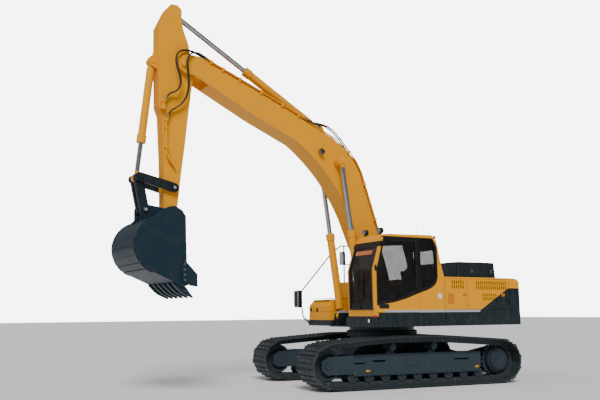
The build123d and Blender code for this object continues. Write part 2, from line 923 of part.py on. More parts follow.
def cab_section(inset):
    """The cab's side outline, moved inwards by inset."""
    with BuildSketch(Plane.XZ) as section:
        with BuildLine():
            Polyline(*cab_outline, close=True)
        make_face()
        if inset:
            offset(amount=-inset, kind=Kind.INTERSECTION)
    return section.sketch


def door_points(inset):
    """The door's outline, moved inwards by inset."""
    return [
        (door_rear + inset, door_foot + inset),
        (door_front - inset, door_foot + inset),
        (door_front - inset, 2345),
        (1075 - inset, 2850),
        (945 - inset, door_head - inset),
        (door_rear + inset, door_head - inset),
    ]


# Window outlines as (x, z) points
rear_quarter = [
    (60, 1960),
    (60, 3010),
    (-190, 3020),
    (-300, 2900),
    (-357, 2242),
    (-284, 2108),
]
right_window = [
    (1150, 1700),
    (1180, 2345),
    (1020, 2880),
    (-190, 2960),
    (-330, 2500),
    (-400, 2150),
    (-400, 1900),
    (200, 1700),
]
door_window = [
    (door_rear + 70, 1960),
    (640, 1770),
    (door_front - 60, 1720),
    (door_front - 60, 2330),
    (1030, 2800),
    (905, door_head - 60),
    (door_rear + 70, door_head - 60),
]
windscreen_heights = (1560, 2820)
windscreen_rim = 60
rear_window_heights = (2260, 2880)
rear_window_rim = 70
hatch_x = (150, 700)
hatch_y = (cab_inner + 200, side_out - 200)
front_window = (
    (1020, 1300),
    (cab_inner + windscreen_rim, side_out - windscreen_rim),
    windscreen_heights,
)
rear_window = (
    (-600, -380),
    (cab_inner + rear_window_rim, side_out - rear_window_rim),
    rear_window_heights,
)
roof_hatch = (hatch_x, hatch_y, (3000, 3200))

with BuildPart() as cab_shell:
    extrude(cab_section(0).moved(Location((0, side_out, 0))), amount=side_out - cab_inner)
    fillet(cab_shell.edges().filter_by(Axis.Y).group_by(Axis.Z)[-1], 60)
    extrude(
        cab_section(cab_wall).moved(Location((0, side_out - cab_wall, 0))),
        amount=side_out - cab_inner - 2 * cab_wall,
        mode=Mode.SUBTRACT,
    )
    # Door opening and the rear quarter window
    slab(door_points(-door_gap), side_out - cab_wall - 5, side_out + 5, Mode.SUBTRACT)
    slab(rear_quarter, side_out - cab_wall - 5, side_out + 5, Mode.SUBTRACT)
    slab(right_window, cab_inner - 5, cab_inner + cab_wall + 5, Mode.SUBTRACT)
    # Windscreen, rear window and roof hatch
    block(*front_window, Mode.SUBTRACT)
    block(*rear_window, Mode.SUBTRACT)
    block(*roof_hatch, Mode.SUBTRACT)
    hinge_halves(door_rear, side_out, 1, cab_hinges, False)
write(cab_shell, "cab_shell")

# Cab door: frame with its window cut
with BuildPart() as cab_door:
    slab(door_points(0), side_out - door_panel, side_out)
    slab(door_window, side_out - door_panel - 5, side_out + 5, Mode.SUBTRACT)
    hinge_halves(door_rear, side_out, 1, cab_hinges, True)
write(cab_door, "cab_door")


def pane(points, y_low, y_high):
    """A window pane that stands seat_gap inside its opening."""
    with BuildSketch(Plane.XZ.offset(-y_high)) as outline:
        with BuildLine():
            Polyline(*points, close=True)
        make_face()
        offset(amount=-seat_gap, kind=Kind.INTERSECTION)
    extrude(outline.sketch, amount=y_high - y_low)


glass_rebate = 12
with BuildPart() as cab_glass:
    # The front, rear and roof panes follow the shell, inside its outer face
    for opening in (front_window, rear_window, roof_hatch):
        window_x, window_y, window_z = opening
        inside = [(low + seat_gap, high - seat_gap) for low, high in (window_y, window_z)]
        with BuildPart(mode=Mode.PRIVATE) as skin:
            extrude(
                cab_section(glass_rebate).moved(Location((0, side_out, 0))),
                amount=side_out - cab_inner,
            )
            extrude(
                cab_section(glass_rebate + glass).moved(Location((0, side_out, 0))),
                amount=side_out - cab_inner,
                mode=Mode.SUBTRACT,
            )
            block(window_x, inside[0], inside[1], Mode.INTERSECT)
        add(skin.part)
    pane(rear_quarter, side_out - glass_rebate - glass, side_out - glass_rebate)
    pane(right_window, cab_inner + glass_rebate, cab_inner + glass_rebate + glass)
write(cab_glass, "cab_glass")
with BuildPart() as door_glass:
    pane(door_window, side_out - glass_rebate - glass, side_out - glass_rebate)
write(door_glass, "door_glass")

# Seat and consoles
cab_middle = (cab_inner + side_out) / 2
with BuildPart() as seat:
    cab_floor = cab_low + cab_wall + seat_gap
    block((80, 560), (cab_middle - 200, cab_middle + 200), (cab_floor, 1720))
    block((60, 600), (cab_middle - 250, cab_middle + 250), (1720, 1860))
    slab(
        [(-60, 1860), (60, 1760), (140, 1860), (20, 2420), (-120, 2440)],
        cab_middle - 240,
        cab_middle + 240,
    )
    slab(
        [(-112, 2420), (12, 2400), (0, 2640), (-120, 2640)],
        cab_middle - 130,
        cab_middle + 130,
    )
write(seat, "seat")
with BuildPart() as consoles:
    for way in (-1, 1):
        low, high = sorted((cab_middle + way * 275, cab_middle + way * 375))
        slab(
            [(-60, cab_floor), (420, cab_floor), (640, 1960), (620, 2020), (60, 1990)],
            low,
            high,
        )
        bar((560, cab_middle + way * 325, 1990), (590, cab_middle + way * 325, 2160), 22)
write(consoles, "consoles")

# Boom: box section with a nose fork, foot tube and cylinder lugs
arm_pivot = (4860, 6395)
boom_half = 255
boom_foot_half = centre_half - side_play
boom_top_pin = (1284, 4742)
arm_cylinder_foot = (1673, 5517)
arm_cylinder_head = (5070, 7500)
nose_inside = 205
eye_play = 4
arm_cylinder_eye = 110
arm_cylinder_lug = 40
arm_pin = 55
fork_throat = 4330
head_recess_end = 3970
head_recess_floor = 6235

with BuildPart() as boom:
    with BuildSketch(Plane.XZ.offset(-boom_half)) as side:
        with BuildLine():
            Polyline(
                (boom_foot[0] + 150, boom_foot[1]),
                (703, 2973),
                (946, 3537),
            )
            ThreePointArc((946, 3537), (1480, 4370), (2300, 5110))
            Polyline(
                (2300, 5110),
                (3284, 5526),
                (3894, 5824),
                (4282, 6014),
                (4637, 6190),
                (4850, 6205),
                (4960, 6290),
                (4990, 6420),
                (4900, 6560),
                (4780, 6600),
                (4510, 6582),
                (4243, 6446),
                (3285, 6068),
                (2521, 5756),
                (1654, 5364),
            )
            ThreePointArc((1654, 5364), (1060, 5030), (700, 4560))
            Polyline(
                (700, 4560),
                (260, 3271),
                (-40, 2300),
                (boom_foot[0] - 150, boom_foot[1]),
                (boom_foot[0] + 150, boom_foot[1]),
            )
        make_face()
    boom_side = side.sketch
    extrude(boom_side, amount=2 * boom_half)
    pin_bar(boom_foot, -boom_foot_half, boom_foot_half, 150)
    pin_bar(boom_foot, -boom_foot_half - 1, boom_foot_half + 1, boom_foot_pin + pin_play, Mode.SUBTRACT)
    # Nose fork: the space that the arm turns in
    slab(
        [
            (fork_throat, 5850),
            (fork_throat, head_recess_floor),
            (head_recess_end, head_recess_floor),
            (head_recess_end, 6700),
            (5100, 6700),
            (5100, 5850),
        ],
        -nose_inside,
        nose_inside,
        Mode.SUBTRACT,
    )
    # Pins of the arm and of the boom cylinders, with their bosses
    pin_bar(arm_pivot, -boom_half - 20, boom_half + 20, arm_pin)
    for way in (-1, 1):
        boss_end = boom_cylinder_lane - boom_cylinder_eye / 2 - eye_play
        low, high = sorted((way * (boom_half - 10), way * boss_end))
        pin_bar(boom_top_pin, low, high, 110)
    # Lugs of the arm cylinder's foot on the top plate
    for way in (-1, 1):
        low, high = sorted(
            (
                way * (arm_cylinder_eye / 2 + eye_play),
                way * (arm_cylinder_eye / 2 + eye_play + arm_cylinder_lug),
            )
        )
        slab(
            [
                (1400, 5150),
                (1530, 5500),
                (1600, 5610),
                (1700, 5630),
                (1780, 5580),
                (2000, 5400),
            ],
            low,
            high,
        )
    lug_out = arm_cylinder_eye / 2 + eye_play + arm_cylinder_lug + 15
    pin_bar(arm_cylinder_foot, -lug_out, lug_out, cylinder_pin)
write(boom, "boom")


# Cylinders
barrel_neck = 74


def unit(start, end):
    """Direction and length from one (x, z) point to another."""
    dx, dz = end[0] - start[0], end[1] - start[1]
    length = hypot(dx, dz)
    return dx / length, dz / length, length


def along(start, direction, distance, y):
    """The point at a distance from an (x, z) start, at side place y."""
    return (start[0] + direction[0] * distance, y, start[1] + direction[1] * distance)


def barrel(foot, head, y, gland, radius, eye_radius, eye_width, pin):
    """A cylinder barrel from its foot eye to its gland, bored for the rod."""
    direction = unit(foot, head)
    shoulder = eye_radius + barrel_neck
    # Steps from the foot: from, to, radius
    for start, end, step_radius in (
        (eye_radius * 0.6, shoulder + 1, eye_width / 2),
        (shoulder, gland - 110, radius),
        (gland - 150, gland, radius + 14),
    ):
        bar(along(foot, direction, start, y), along(foot, direction, end, y), step_radius)
    pin_bar(foot, y - eye_width / 2, y + eye_width / 2, eye_radius)
    pin_bar(foot, y - eye_width / 2 - 1, y + eye_width / 2 + 1, pin + pin_play, Mode.SUBTRACT)


# Cylinder dimensions: barrel radius, rod radius, gland place and rod's inner end
boom_barrel = 85
boom_rod = 52
boom_gland = 1850
boom_rod_start = 1390
arm_barrel_radius = 90
arm_rod_radius = 52
arm_gland = 2030
arm_rod_start = 1830
bucket_barrel_radius = 78
bucket_rod_radius = 46
bucket_gland = 1660
bucket_rod_start = 820
eye_wall = 52
bore_play = 0.5

# Boom cylinders: two barrels on the frame, two rods with their pins to the boom
boom_run = unit(boom_cylinder_foot, boom_top_pin)
with BuildPart() as boom_barrels:
    for way in (-1, 1):
        y = way * boom_cylinder_lane
        barrel(
            boom_cylinder_foot, boom_top_pin, y, boom_gland, boom_barrel,
            cylinder_pin + eye_wall, boom_cylinder_eye, cylinder_pin,
        )
        bar(
            along(boom_cylinder_foot, boom_run, cylinder_pin + eye_wall + 20, y),
            along(boom_cylinder_foot, boom_run, boom_gland + 1, y),
            boom_rod + bore_play,
            Mode.SUBTRACT,
        )
write(boom_barrels, "boom_barrels")
with BuildPart() as boom_rods:
    for way in (-1, 1):
        y = way * boom_cylinder_lane
        bar(
            along(boom_cylinder_foot, boom_run, boom_rod_start, y),
            along(boom_cylinder_foot, boom_run, boom_run[2] - 60, y),
            boom_rod,
        )
        low, high = sorted((y - way * boom_cylinder_eye / 2, y + way * boom_cylinder_eye / 2))
        pin_bar(boom_top_pin, low, high, cylinder_pin + eye_wall)
        low, high = sorted((y + way * boom_cylinder_eye / 2, y + way * (boom_cylinder_eye / 2 + 26)))
        pin_bar(boom_top_pin, low, high, cylinder_pin + 14)
write(boom_rods, "boom_rods")

# Arm cylinder
arm_run = unit(arm_cylinder_foot, arm_cylinder_head)
with BuildPart() as arm_barrel:
    barrel(
        arm_cylinder_foot, arm_cylinder_head, 0, arm_gland, arm_barrel_radius,
        cylinder_pin + eye_wall, arm_cylinder_eye, cylinder_pin,
    )
    bar(
        along(arm_cylinder_foot, arm_run, cylinder_pin + eye_wall + 20, 0),
        along(arm_cylinder_foot, arm_run, arm_gland + 1, 0),
        arm_rod_radius + bore_play,
        Mode.SUBTRACT,
    )
write(arm_barrel, "arm_barrel")
with BuildPart() as arm_rod:
    bar(
        along(arm_cylinder_foot, arm_run, arm_rod_start, 0),
        along(arm_cylinder_foot, arm_run, arm_run[2] - 60, 0),
        arm_rod_radius,
    )
    pin_bar(arm_cylinder_head, -arm_cylinder_eye / 2, arm_cylinder_eye / 2, cylinder_pin + eye_wall)
write(arm_rod, "arm_rod")

# Arm: box section with a slotted head, cylinder lugs and a nose for the bucket
bucket_pivot = (5080, 3350)
arm_box = 148
bucket_cylinder_foot = (5456, 6405)
rocker_pivot = (5017, 3895)
rocker_head = (5705, 4060)
bucket_link_pin = (5567, 3442)
nose_boss = 125
bucket_pin = 48
rod_slot = arm_cylinder_eye / 2 + eye_play
bucket_eye = 104
ear_inside = arm_box + 8
ear_plate = 34
rocker_inside = ear_inside + ear_plate + 6
rocker_plate = 36
with BuildPart() as arm:
    with BuildSketch(Plane.XZ.offset(-arm_box)) as side:
        with BuildLine():
            Polyline(
                (4958, 3432),
                (4944, 3475),
                (4916, 3560),
                (4858, 4157),
                (4785, 4776),
                (4712, 5511),
                (4640, 6149),
                (4743, 6832),
                (4846, 7090),
                (4900, 7300),
                (4900, 7540),
                (4990, 7620),
                (5130, 7620),
                (5210, 7520),
                (5389, 7111),
                (5377, 6570),
                (5345, 5500),
                (5277, 5331),
                (5217, 4413),
                (5190, 3600),
                (5200, 3380),
            )
            ThreePointArc((5200, 3380), (5080, bucket_pivot[1] - nose_boss), (4958, 3432))
        make_face()
    extrude(side.sketch, amount=2 * arm_box)
    pin_bar(arm_pivot, -nose_inside + side_play, nose_inside - side_play, 150)
    pin_bar(arm_pivot, -nose_inside, nose_inside, arm_pin + pin_play, Mode.SUBTRACT)
    # Head slot in which the rod eye stands
    slab([(4700, 7100), (4700, 7700), (5500, 7700), (5500, 7100)], -rod_slot, rod_slot, Mode.SUBTRACT)
    # Lugs of the bucket cylinder's foot
    for way in (-1, 1):
        low, high = sorted((way * (bucket_eye / 2 + eye_play), way * (bucket_eye / 2 + eye_play + 36)))
        slab(
            [
                (5340, 6900),
                (5420, 6560),
                (5510, 6490),
                (5550, 6400),
                (5500, 6310),
                (5340, 6240),
            ],
            low,
            high,
        )
    lug_out = bucket_eye / 2 + eye_play + 36 + 14
    pin_bar(bucket_cylinder_foot, -lug_out, lug_out, cylinder_pin)
    # Rocker pivot boss with its pin, and the bucket pivot boss
    pin_bar(rocker_pivot, -rocker_inside + eye_play, rocker_inside - eye_play, 82)
    pin_bar(rocker_pivot, -rocker_inside - rocker_plate - 12, rocker_inside + rocker_plate + 12, 40)
    pin_bar(bucket_pivot, -arm_box - 1, arm_box + 1, bucket_pin + pin_play, Mode.SUBTRACT)
write(arm, "arm")

# Bucket cylinder
bucket_foot_wall = 24
bucket_run = unit(bucket_cylinder_foot, rocker_head)
with BuildPart() as bucket_barrel:
    barrel(
        bucket_cylinder_foot, rocker_head, 0, bucket_gland, bucket_barrel_radius,
        cylinder_pin + bucket_foot_wall, bucket_eye, cylinder_pin,
    )
    bar(
        along(bucket_cylinder_foot, bucket_run, cylinder_pin + bucket_foot_wall + 20, 0),
        along(bucket_cylinder_foot, bucket_run, bucket_gland + 1, 0),
        bucket_rod_radius + bore_play,
        Mode.SUBTRACT,
    )
write(bucket_barrel, "bucket_barrel")
with BuildPart() as bucket_rod:
    bar(
        along(bucket_cylinder_foot, bucket_run, bucket_rod_start, 0),
        along(bucket_cylinder_foot, bucket_run, bucket_run[2] - 50, 0),
        bucket_rod_radius,
    )
    pin_bar(rocker_head, -bucket_eye / 2, bucket_eye / 2, 88)
write(bucket_rod, "bucket_rod")


def link_plate(first, second, radius_first, radius_second, y_low, y_high):
    """A flat link between two (x, z) pins with rounded ends."""
    dx, dz, length = unit(first, second)
    with BuildSketch(Plane.XZ.offset(-y_high)) as outline:
        for centre, radius in ((first, radius_first), (second, radius_second)):
            with Locations(centre):
                Circle(radius)
        make_hull()
    extrude(outline.sketch, amount=y_high - y_low)


# Rocker: two side plates joined by the pin through the rod's end
with BuildPart() as rocker:
    for way in (-1, 1):
        low, high = sorted((way * rocker_inside, way * (rocker_inside + rocker_plate)))
        link_plate(rocker_pivot, rocker_head, 92, 84, low, high)
        pin_bar(rocker_pivot, low - 1, high + 1, 40 + pin_play, Mode.SUBTRACT)
        low, high = sorted((way * (arm_box - 30), way * rocker_inside))
        pin_bar(rocker_head, low, high, 40)
        low, high = sorted((way * rocker_inside, way * (rocker_inside + rocker_plate + 16)))
        pin_bar(rocker_head, low, high, 46)
write(rocker, "rocker")

# Bucket link: two arms with eyes, joined by a web near the bucket
link_inside = bucket_eye / 2 + 8
lifting_eye_half = 22
web_start = 190
web_end = 270
web_half = 56
link_run = unit(bucket_link_pin, rocker_head)
with BuildPart() as bucket_link:
    for way in (-1, 1):
        low, high = sorted((way * link_inside, way * arm_box))
        link_plate(bucket_link_pin, rocker_head, 86, 84, low, high)
        low, high = sorted((way * (arm_box - 32), way * (arm_box + 1)))
        pin_bar(rocker_head, low, high, 40 + pin_play, Mode.SUBTRACT)
    web_ends = [
        (
            bucket_link_pin[0] + link_run[0] * place,
            bucket_link_pin[1] + link_run[1] * place,
        )
        for place in (web_start, web_end)
    ]
    link_plate(*web_ends, web_half, web_half, -link_inside - 1, link_inside + 1)
    # The open pivot: two stub pins, clear of the bucket's lifting eye between them
    for way in (-1, 1):
        low, high = sorted((way * (lifting_eye_half + side_play + 3), way * (link_inside + 1)))
        pin_bar(bucket_link_pin, low, high, bucket_pin)
write(bucket_link, "bucket_link")

# Bucket: side plates, back sheet, top plate, ears with their pins
bucket_half = 720
bucket_side = 26
lifting_eye = (5655, 3262)
lifting_bore = 26
strip_count = 5
strip_from = 10
strip_pitch = 16.5
strip_width = 13.5
strip_rise = 14
strip_half = bucket_half - bucket_side - 6
lip_front = (5010, 1975)
lip_back = (5200, 2085)
with BuildPart() as bucket:
    # Back sheet as a closed section, hollowed from the mouth
    with BuildSketch(Plane.XZ.offset(-(bucket_half - bucket_side))) as sheet:
        with BuildLine():
            Polyline((5050, 3145), (5330, 3190), (5560, 3235))
            ThreePointArc((5560, 3235), (5905, 2760), (5540, 2270))
            Polyline((5540, 2270), (5200, 2120), (4990, 2010), (4985, 1985), lip_front)
            Polyline(lip_front, lip_back, (5560, 2240))
            back_arc = ThreePointArc((5560, 2240), (5930, 2765), (5580, 3262))
            Polyline((5580, 3262), (5330, 3216), (5045, 3172), (5050, 3145))
        make_face()
    extrude(sheet.sketch, amount=2 * (bucket_half - bucket_side))
    for way in (-1, 1):
        low, high = sorted((way * (bucket_half - bucket_side), way * bucket_half))
        with BuildSketch(Plane.XZ.offset(-high)) as wall:
            with BuildLine():
                Polyline(
                    (5580, 3262),
                    (5431, 3385),
                    (5300, 3452),
                    (5174, 3470),
                    (5041, 3400),
                    (4966, 3283),
                    (4953, 2835),
                    (4932, 2391),
                    (4880, 2030),
                    lip_front,
                    lip_back,
                    (5560, 2240),
                )
                ThreePointArc((5560, 2240), (5930, 2765), (5580, 3262))
            make_face()
        extrude(wall.sketch, amount=high - low)
    # Ears on the top plate
    for way in (-1, 1):
        low, high = sorted((way * ear_inside, way * (ear_inside + ear_plate)))
        with BuildSketch(Plane.XZ.offset(-high)) as ear:
            for centre, radius in ((bucket_pivot, 118), (bucket_link_pin, 104)):
                with Locations(centre):
                    Circle(radius)
            with Locations((5250, 3195)):
                Circle(12)
            with Locations((5640, 3240)):
                Circle(24)
            with Locations((5070, 3165)):
                Circle(12)
            make_hull()
        extrude(ear.sketch, amount=high - low)
        pin_end = ear_inside + ear_plate + 14
        low, high = sorted((way * (arm_box - 110), way * pin_end))
        pin_bar(bucket_pivot, low, high, bucket_pin)
        low, high = sorted((way * (arm_box + side_play), way * pin_end))
        pin_bar(bucket_link_pin, low, high, bucket_pin)
    # Wear strips across the back, each a step of angle on the back's arc
    back_centre = (back_arc.arc_center.X, back_arc.arc_center.Y)
    for index in range(strip_count):
        start = strip_from - index * strip_pitch
        with BuildSketch(Plane.XZ.offset(-strip_half)) as strip:
            with BuildLine():
                rim = CenterArc(back_centre, back_arc.radius + strip_rise, start, -strip_width)
                seat_arc = CenterArc(back_centre, back_arc.radius - 2, start, -strip_width)
                Line(rim @ 0, seat_arc @ 0)
                Line(rim @ 1, seat_arc @ 1)
            make_face()
        extrude(strip.sketch, amount=2 * strip_half)
    # Lifting eye on the back sheet
    slab(
        [(5560, 3240), (5600, 3330), (5680, 3330), (5770, 3150)],
        -lifting_eye_half,
        lifting_eye_half,
    )
    pin_bar(lifting_eye, -lifting_eye_half - 1, lifting_eye_half + 1, lifting_bore, Mode.SUBTRACT)
write(bucket, "bucket")

# Teeth on the cutting edge and cutters on the side plates
tooth_count = 6
tooth_half = 46
tooth_pitch = (2 * (bucket_half - bucket_side) - 2 * tooth_half - 20) / (tooth_count - 1)
lip_run = unit(lip_front, lip_back)
# Tooth outline beside the lip: distance back along it, depth below its lower face
tooth_outline = (
    (190, seat_gap),
    (-20, seat_gap),
    (-20, -46),
    (-60, -46),
    (-285, 40),
    (-285, 54),
    (-60, 82),
    (60, 62),
    (190, 30),
)
with BuildPart() as bucket_teeth:
    for index in range(tooth_count):
        y = (index - (tooth_count - 1) / 2) * tooth_pitch
        slab(
            [
                (
                    lip_front[0] + lip_run[0] * back + lip_run[1] * depth,
                    lip_front[1] + lip_run[1] * back - lip_run[0] * depth,
                )
                for back, depth in tooth_outline
            ],
            y - tooth_half,
            y + tooth_half,
        )
write(bucket_teeth, "bucket_teeth")
with BuildPart() as side_cutters:
    for way in (-1, 1):
        low, high = sorted((way * (bucket_half + seat_gap), way * (bucket_half + 28)))
        slab(
            [
                (5010, 2480),
                (4930, 2420),
                (4735, 2223),
                (4730, 1989),
                (4860, 2005),
                (5030, 2090),
                (5050, 2300),
            ],
            low,
            high,
        )
write(side_cutters, "side_cutters")

# Handrail on the right side, carrying the mirror
rail_radius = 17
rail_y = -1400
rail_high = 3090
rail_points = (
    (1010 + rail_radius, rail_y, 1260),
    (1200, rail_y, 1400),
    (1240, rail_y, 1640),
    (1240, rail_y, 1990),
    (380, rail_y, 2920),
    (120, rail_y, rail_high),
    (-420, rail_y, rail_high),
    (-460, rail_y, 3050),
    (-460, rail_y, tank_high + seat_gap),
)
mirror_size = (90, 210, 400)
small_mirror_size = (56, 180, 320)
post_x = 40
cross_rail = 2640
mirror_centre = (1270, 1815)
small_mirror_height = 2790
mirror_corner = 50
with BuildPart() as handrail:
    with BuildLine() as rail_line:
        FilletPolyline(*rail_points, radius=(60, 80, 90, 120, 90, 25, 25))
    with BuildSketch(rail_line.line ^ 0):
        Circle(rail_radius)
    sweep()
    bar((post_x, rail_y, tank_high + seat_gap), (post_x, rail_y, rail_high), rail_radius)
    bar((post_x, rail_y, cross_rail), (rail_points[-1][0], rail_y, cross_rail), rail_radius - 3)
write(handrail, "handrail")
with BuildPart() as mirrors:
    mirror_y = rail_y - rail_radius - seat_gap - mirror_size[1] / 2
    with Locations((mirror_centre[0], mirror_y, mirror_centre[1])):
        Box(*mirror_size)
    small_mirror_x = post_x + rail_radius + seat_gap + small_mirror_size[0] / 2
    with Locations((small_mirror_x, rail_y, small_mirror_height)):
        Box(*small_mirror_size)
    fillet(mirrors.edges().filter_by(Axis.X), mirror_corner)
write(mirrors, "mirrors")

# Work lamps: two on the cab roof, one on the deck below it, one on the boom
lamp_radius = 62
lamp_depth = 80
lamp_foot = 40
roof_lamps = ((930, 760, 3165), (930, 1290, 3165))
lamp_seat = 3080
with BuildPart() as work_lamps:
    for x, y, z in roof_lamps:
        bar((x - lamp_depth / 2, y, z), (x + lamp_depth / 2, y, z), lamp_radius)
        foot_x = (x - lamp_foot / 2, x + lamp_foot / 2)
        foot_y = (y - lamp_foot / 2, y + lamp_foot / 2)
        block(foot_x, foot_y, (lamp_seat, z - lamp_radius + 4))
    # Small lamp on the deck's front edge below the cab
    block((1290 + seat_gap, 1316), (1330, 1390), (1296, 1362))
write(work_lamps, "work_lamps")
with BuildPart() as boom_lamp:
    lamp = (1700, boom_half + 75, 4950)
    bar((lamp[0], lamp[1], lamp[2]), (lamp[0] + 60, lamp[1], lamp[2] - 50), lamp_radius)
    bar((lamp[0], boom_half + seat_gap, lamp[2]), (lamp[0], lamp[1] + 10, lamp[2]), 14)
write(boom_lamp, "boom_lamp")

# Exhaust pipe on the right of the hood
exhaust = (-1650, -1080)
exhaust_radius = 62
spout_radius = 60
exhaust_rise = 300
spout_rise = 420
spout_reach = 110
with BuildPart() as exhaust_pipe:
    bar((*exhaust, hood_high + seat_gap), (*exhaust, hood_high + exhaust_rise), exhaust_radius)
    spout_foot = (exhaust[0], exhaust[1], hood_high + exhaust_rise - 30)
    spout_end = (exhaust[0] - spout_reach, exhaust[1], hood_high + spout_rise)
    bar(spout_foot, spout_end, spout_radius)
write(exhaust_pipe, "exhaust_pipe")

# Hydraulic lines: four pipes on the boom's left, in lanes over its top edge
pipe_radius = 14
pipe_rise = 50
pipe_lanes = (172, 205, 238, 271)
nose_end = (4377, 6570)
# Pipe line over the boom's top, from the hump to the nose
upper_pipe = ((2120, 5634), (2501, 5802), (3266, 6114), (4222, 6492), nose_end)
# Pipe line down the boom's back, from the hump to the foot
lower_pipe = ((1044.7, 5094.7), (790, 4812), (653, 4576), (213, 3287), (126, 3032))
hump_pipe = ((1633, 5410), (1330, 5285))
clamp_length = 46
clamp_side = (154, 290)
clamp_lip = 14
clamp_cover = 8
# Couplings at the pipes' ends
end_coupling = 70
end_coupling_radius = pipe_radius + 2
upper_bend = 300
lower_bend = 200
# Clamps: the stretch of pipe line that each stands on, and its share of it
upper_clamps = ((0, 0.35), (1, 0.2), (1, 0.85), (2, 0.4), (2, 0.8), (3, 0.45))
lower_clamps = ((0, 0.7), (2, 0.2), (2, 0.8))


def lane_pipe(line, y, radius, bend):
    """A pipe along (x, z) points in the lane y."""
    with BuildPart(mode=Mode.PRIVATE) as pipe:
        with BuildLine() as path:
            FilletPolyline(*[(x, y, z) for x, z in line], radius=bend)
        with BuildSketch(path.line ^ 0):
            Circle(radius)
        sweep()
    add(pipe.part)


def pipe_clamp(first, second, share):
    """A block over all four pipes, with a lip past the boom's plate."""
    dx, dz, length = unit(first, second)
    middle = (first[0] + dx * length * share, first[1] + dz * length * share)
    top = pipe_radius + clamp_cover
    foot = -pipe_rise - clamp_lip
    half = clamp_length / 2
    slab(
        [
            (middle[0] + dx * run - dz * rise, middle[1] + dz * run + dx * rise)
            for run, rise in ((-half, foot), (half, foot), (half, top), (-half, top))
        ],
        *clamp_side,
    )


with BuildPart() as boom_pipes:
    for index, y in enumerate(pipe_lanes):
        if index % 2:
            lane_pipe(upper_pipe, y, pipe_radius, upper_bend)
            lane_pipe(lower_pipe, y, pipe_radius, lower_bend)
            # Couplings of the hose over the hump
            for start, end in (upper_pipe[:2], lower_pipe[:2]):
                dx, dz, length = unit(start, end)
                coupling_end = along(start, (dx, dz), end_coupling, y)
                bar((start[0], y, start[1]), coupling_end, end_coupling_radius)
        else:
            line = (*upper_pipe[:0:-1], *hump_pipe, *lower_pipe[1:])
            lane_pipe(line, y, pipe_radius, lower_bend)
        dx, dz, length = unit(nose_end, upper_pipe[-2])
        coupling_end = along(nose_end, (dx, dz), end_coupling, y)
        bar((nose_end[0], y, nose_end[1]), coupling_end, end_coupling_radius)
    for stretch, share in upper_clamps:
        pipe_clamp(upper_pipe[stretch], upper_pipe[stretch + 1], share)
    for stretch, share in lower_clamps:
        pipe_clamp(lower_pipe[stretch + 1], lower_pipe[stretch], share)
    # The clamps' feet follow the boom's plate
    with BuildSketch(Plane.XZ.offset(-boom_half - seat_gap)) as plate_line:
        add(boom_side)
        offset(amount=seat_gap, kind=Kind.INTERSECTION)
    extrude(plate_line.sketch, amount=2 * (boom_half + seat_gap), mode=Mode.SUBTRACT)
write(boom_pipes, "boom_pipes")

# Free hoses: each a route of points, an arc at each point inside it
hose_radius = 15
# Hoses past the boom's nose to the arm: x, z, side place of the inner hose and of the outer one
front_hoses = (
    (4377.4, 6570.2, 172, 205),
    (4528, 6647, 172, 205),
    (4700, 6702, 174, 209),
    (4880, 6690, 190, 227),
    (5022, 6592, 235, 273),
    (5065, 6420, 285, 323),
    (5032, 6250, 310, 348),
    (4975, 6092, 312, 350),
    (4952, 5930, 290, 328),
    (5030, 5792, 248, 286),
    (5170, 5752, 200, 238),
    (5240, 5609, 200, 238),
)
rear_hoses = (
    (4377.4, 6570.2, 238, 271),
    (4520, 6643, 238, 271),
    (4672, 6652, 268, 303),
    (4800, 6572, 302, 338),
    (4842, 6415, 312, 348),
    (4822, 6250, 312, 348),
    (4798, 6080, 306, 342),
    (4786, 5905, 290, 326),
    (4812, 5735, 262, 298),
    (4884, 5590, 232, 268),
    (5006, 5480, 206, 242),
    (5136, 5408, 190, 228),
    (5179, 5254, 190, 228),
)
# Hoses over the boom's hump, between its upper and lower pipes
hump_hoses = (
    (2119.6, 5633.8, 205, 271),
    (1983, 5573.5, 205, 271),
    (1835, 5548, 207, 274),
    (1680, 5545, 210, 278),
    (1525, 5510, 211, 280),
    (1385, 5430, 209, 278),
    (1265, 5325, 207, 275),
    (1150, 5213, 205, 271),
    (1045, 5095, 205, 271),
)


def hose(route):
    """A hose tube, each arc as large as its two runs allow."""
    points = [Vector(*point) for point in route]
    runs = [after - before for before, after in zip(points, points[1:])]
    radii = [
        0.45 * min(first.length, second.length) / tan(radians(first.get_angle(second) / 2))
        for first, second in zip(runs, runs[1:])
    ]
    with BuildLine() as path:
        FilletPolyline(*points, radius=radii)
    with BuildSketch(path.line ^ 0) as section:
        Circle(hose_radius)
    sweep(section.sketch, path=path.line)
    return radii


for name, table in (("front_hose", front_hoses), ("rear_hose", rear_hoses), ("hump_hose", hump_hoses)):
    for place, column in (("inner", 2), ("outer", 3)):
        route = [(row[0], row[column], row[1]) for row in table]
        with BuildPart() as tube:
            radii = hose(route)
        print(f"{name}_{place} radii:", [round(radius) for radius in radii])
        write(tube, f"{name}_{place}")

# Lines on the arm: couplings of the free hoses, their brackets, pipes and clamps
coupling_length = 50
coupling_radius = 17
bracket_plate = 14
arm_pipe_radius = 13
arm_skin = arm_box + seat_gap
bracket_reach = 30
stub_length = 40
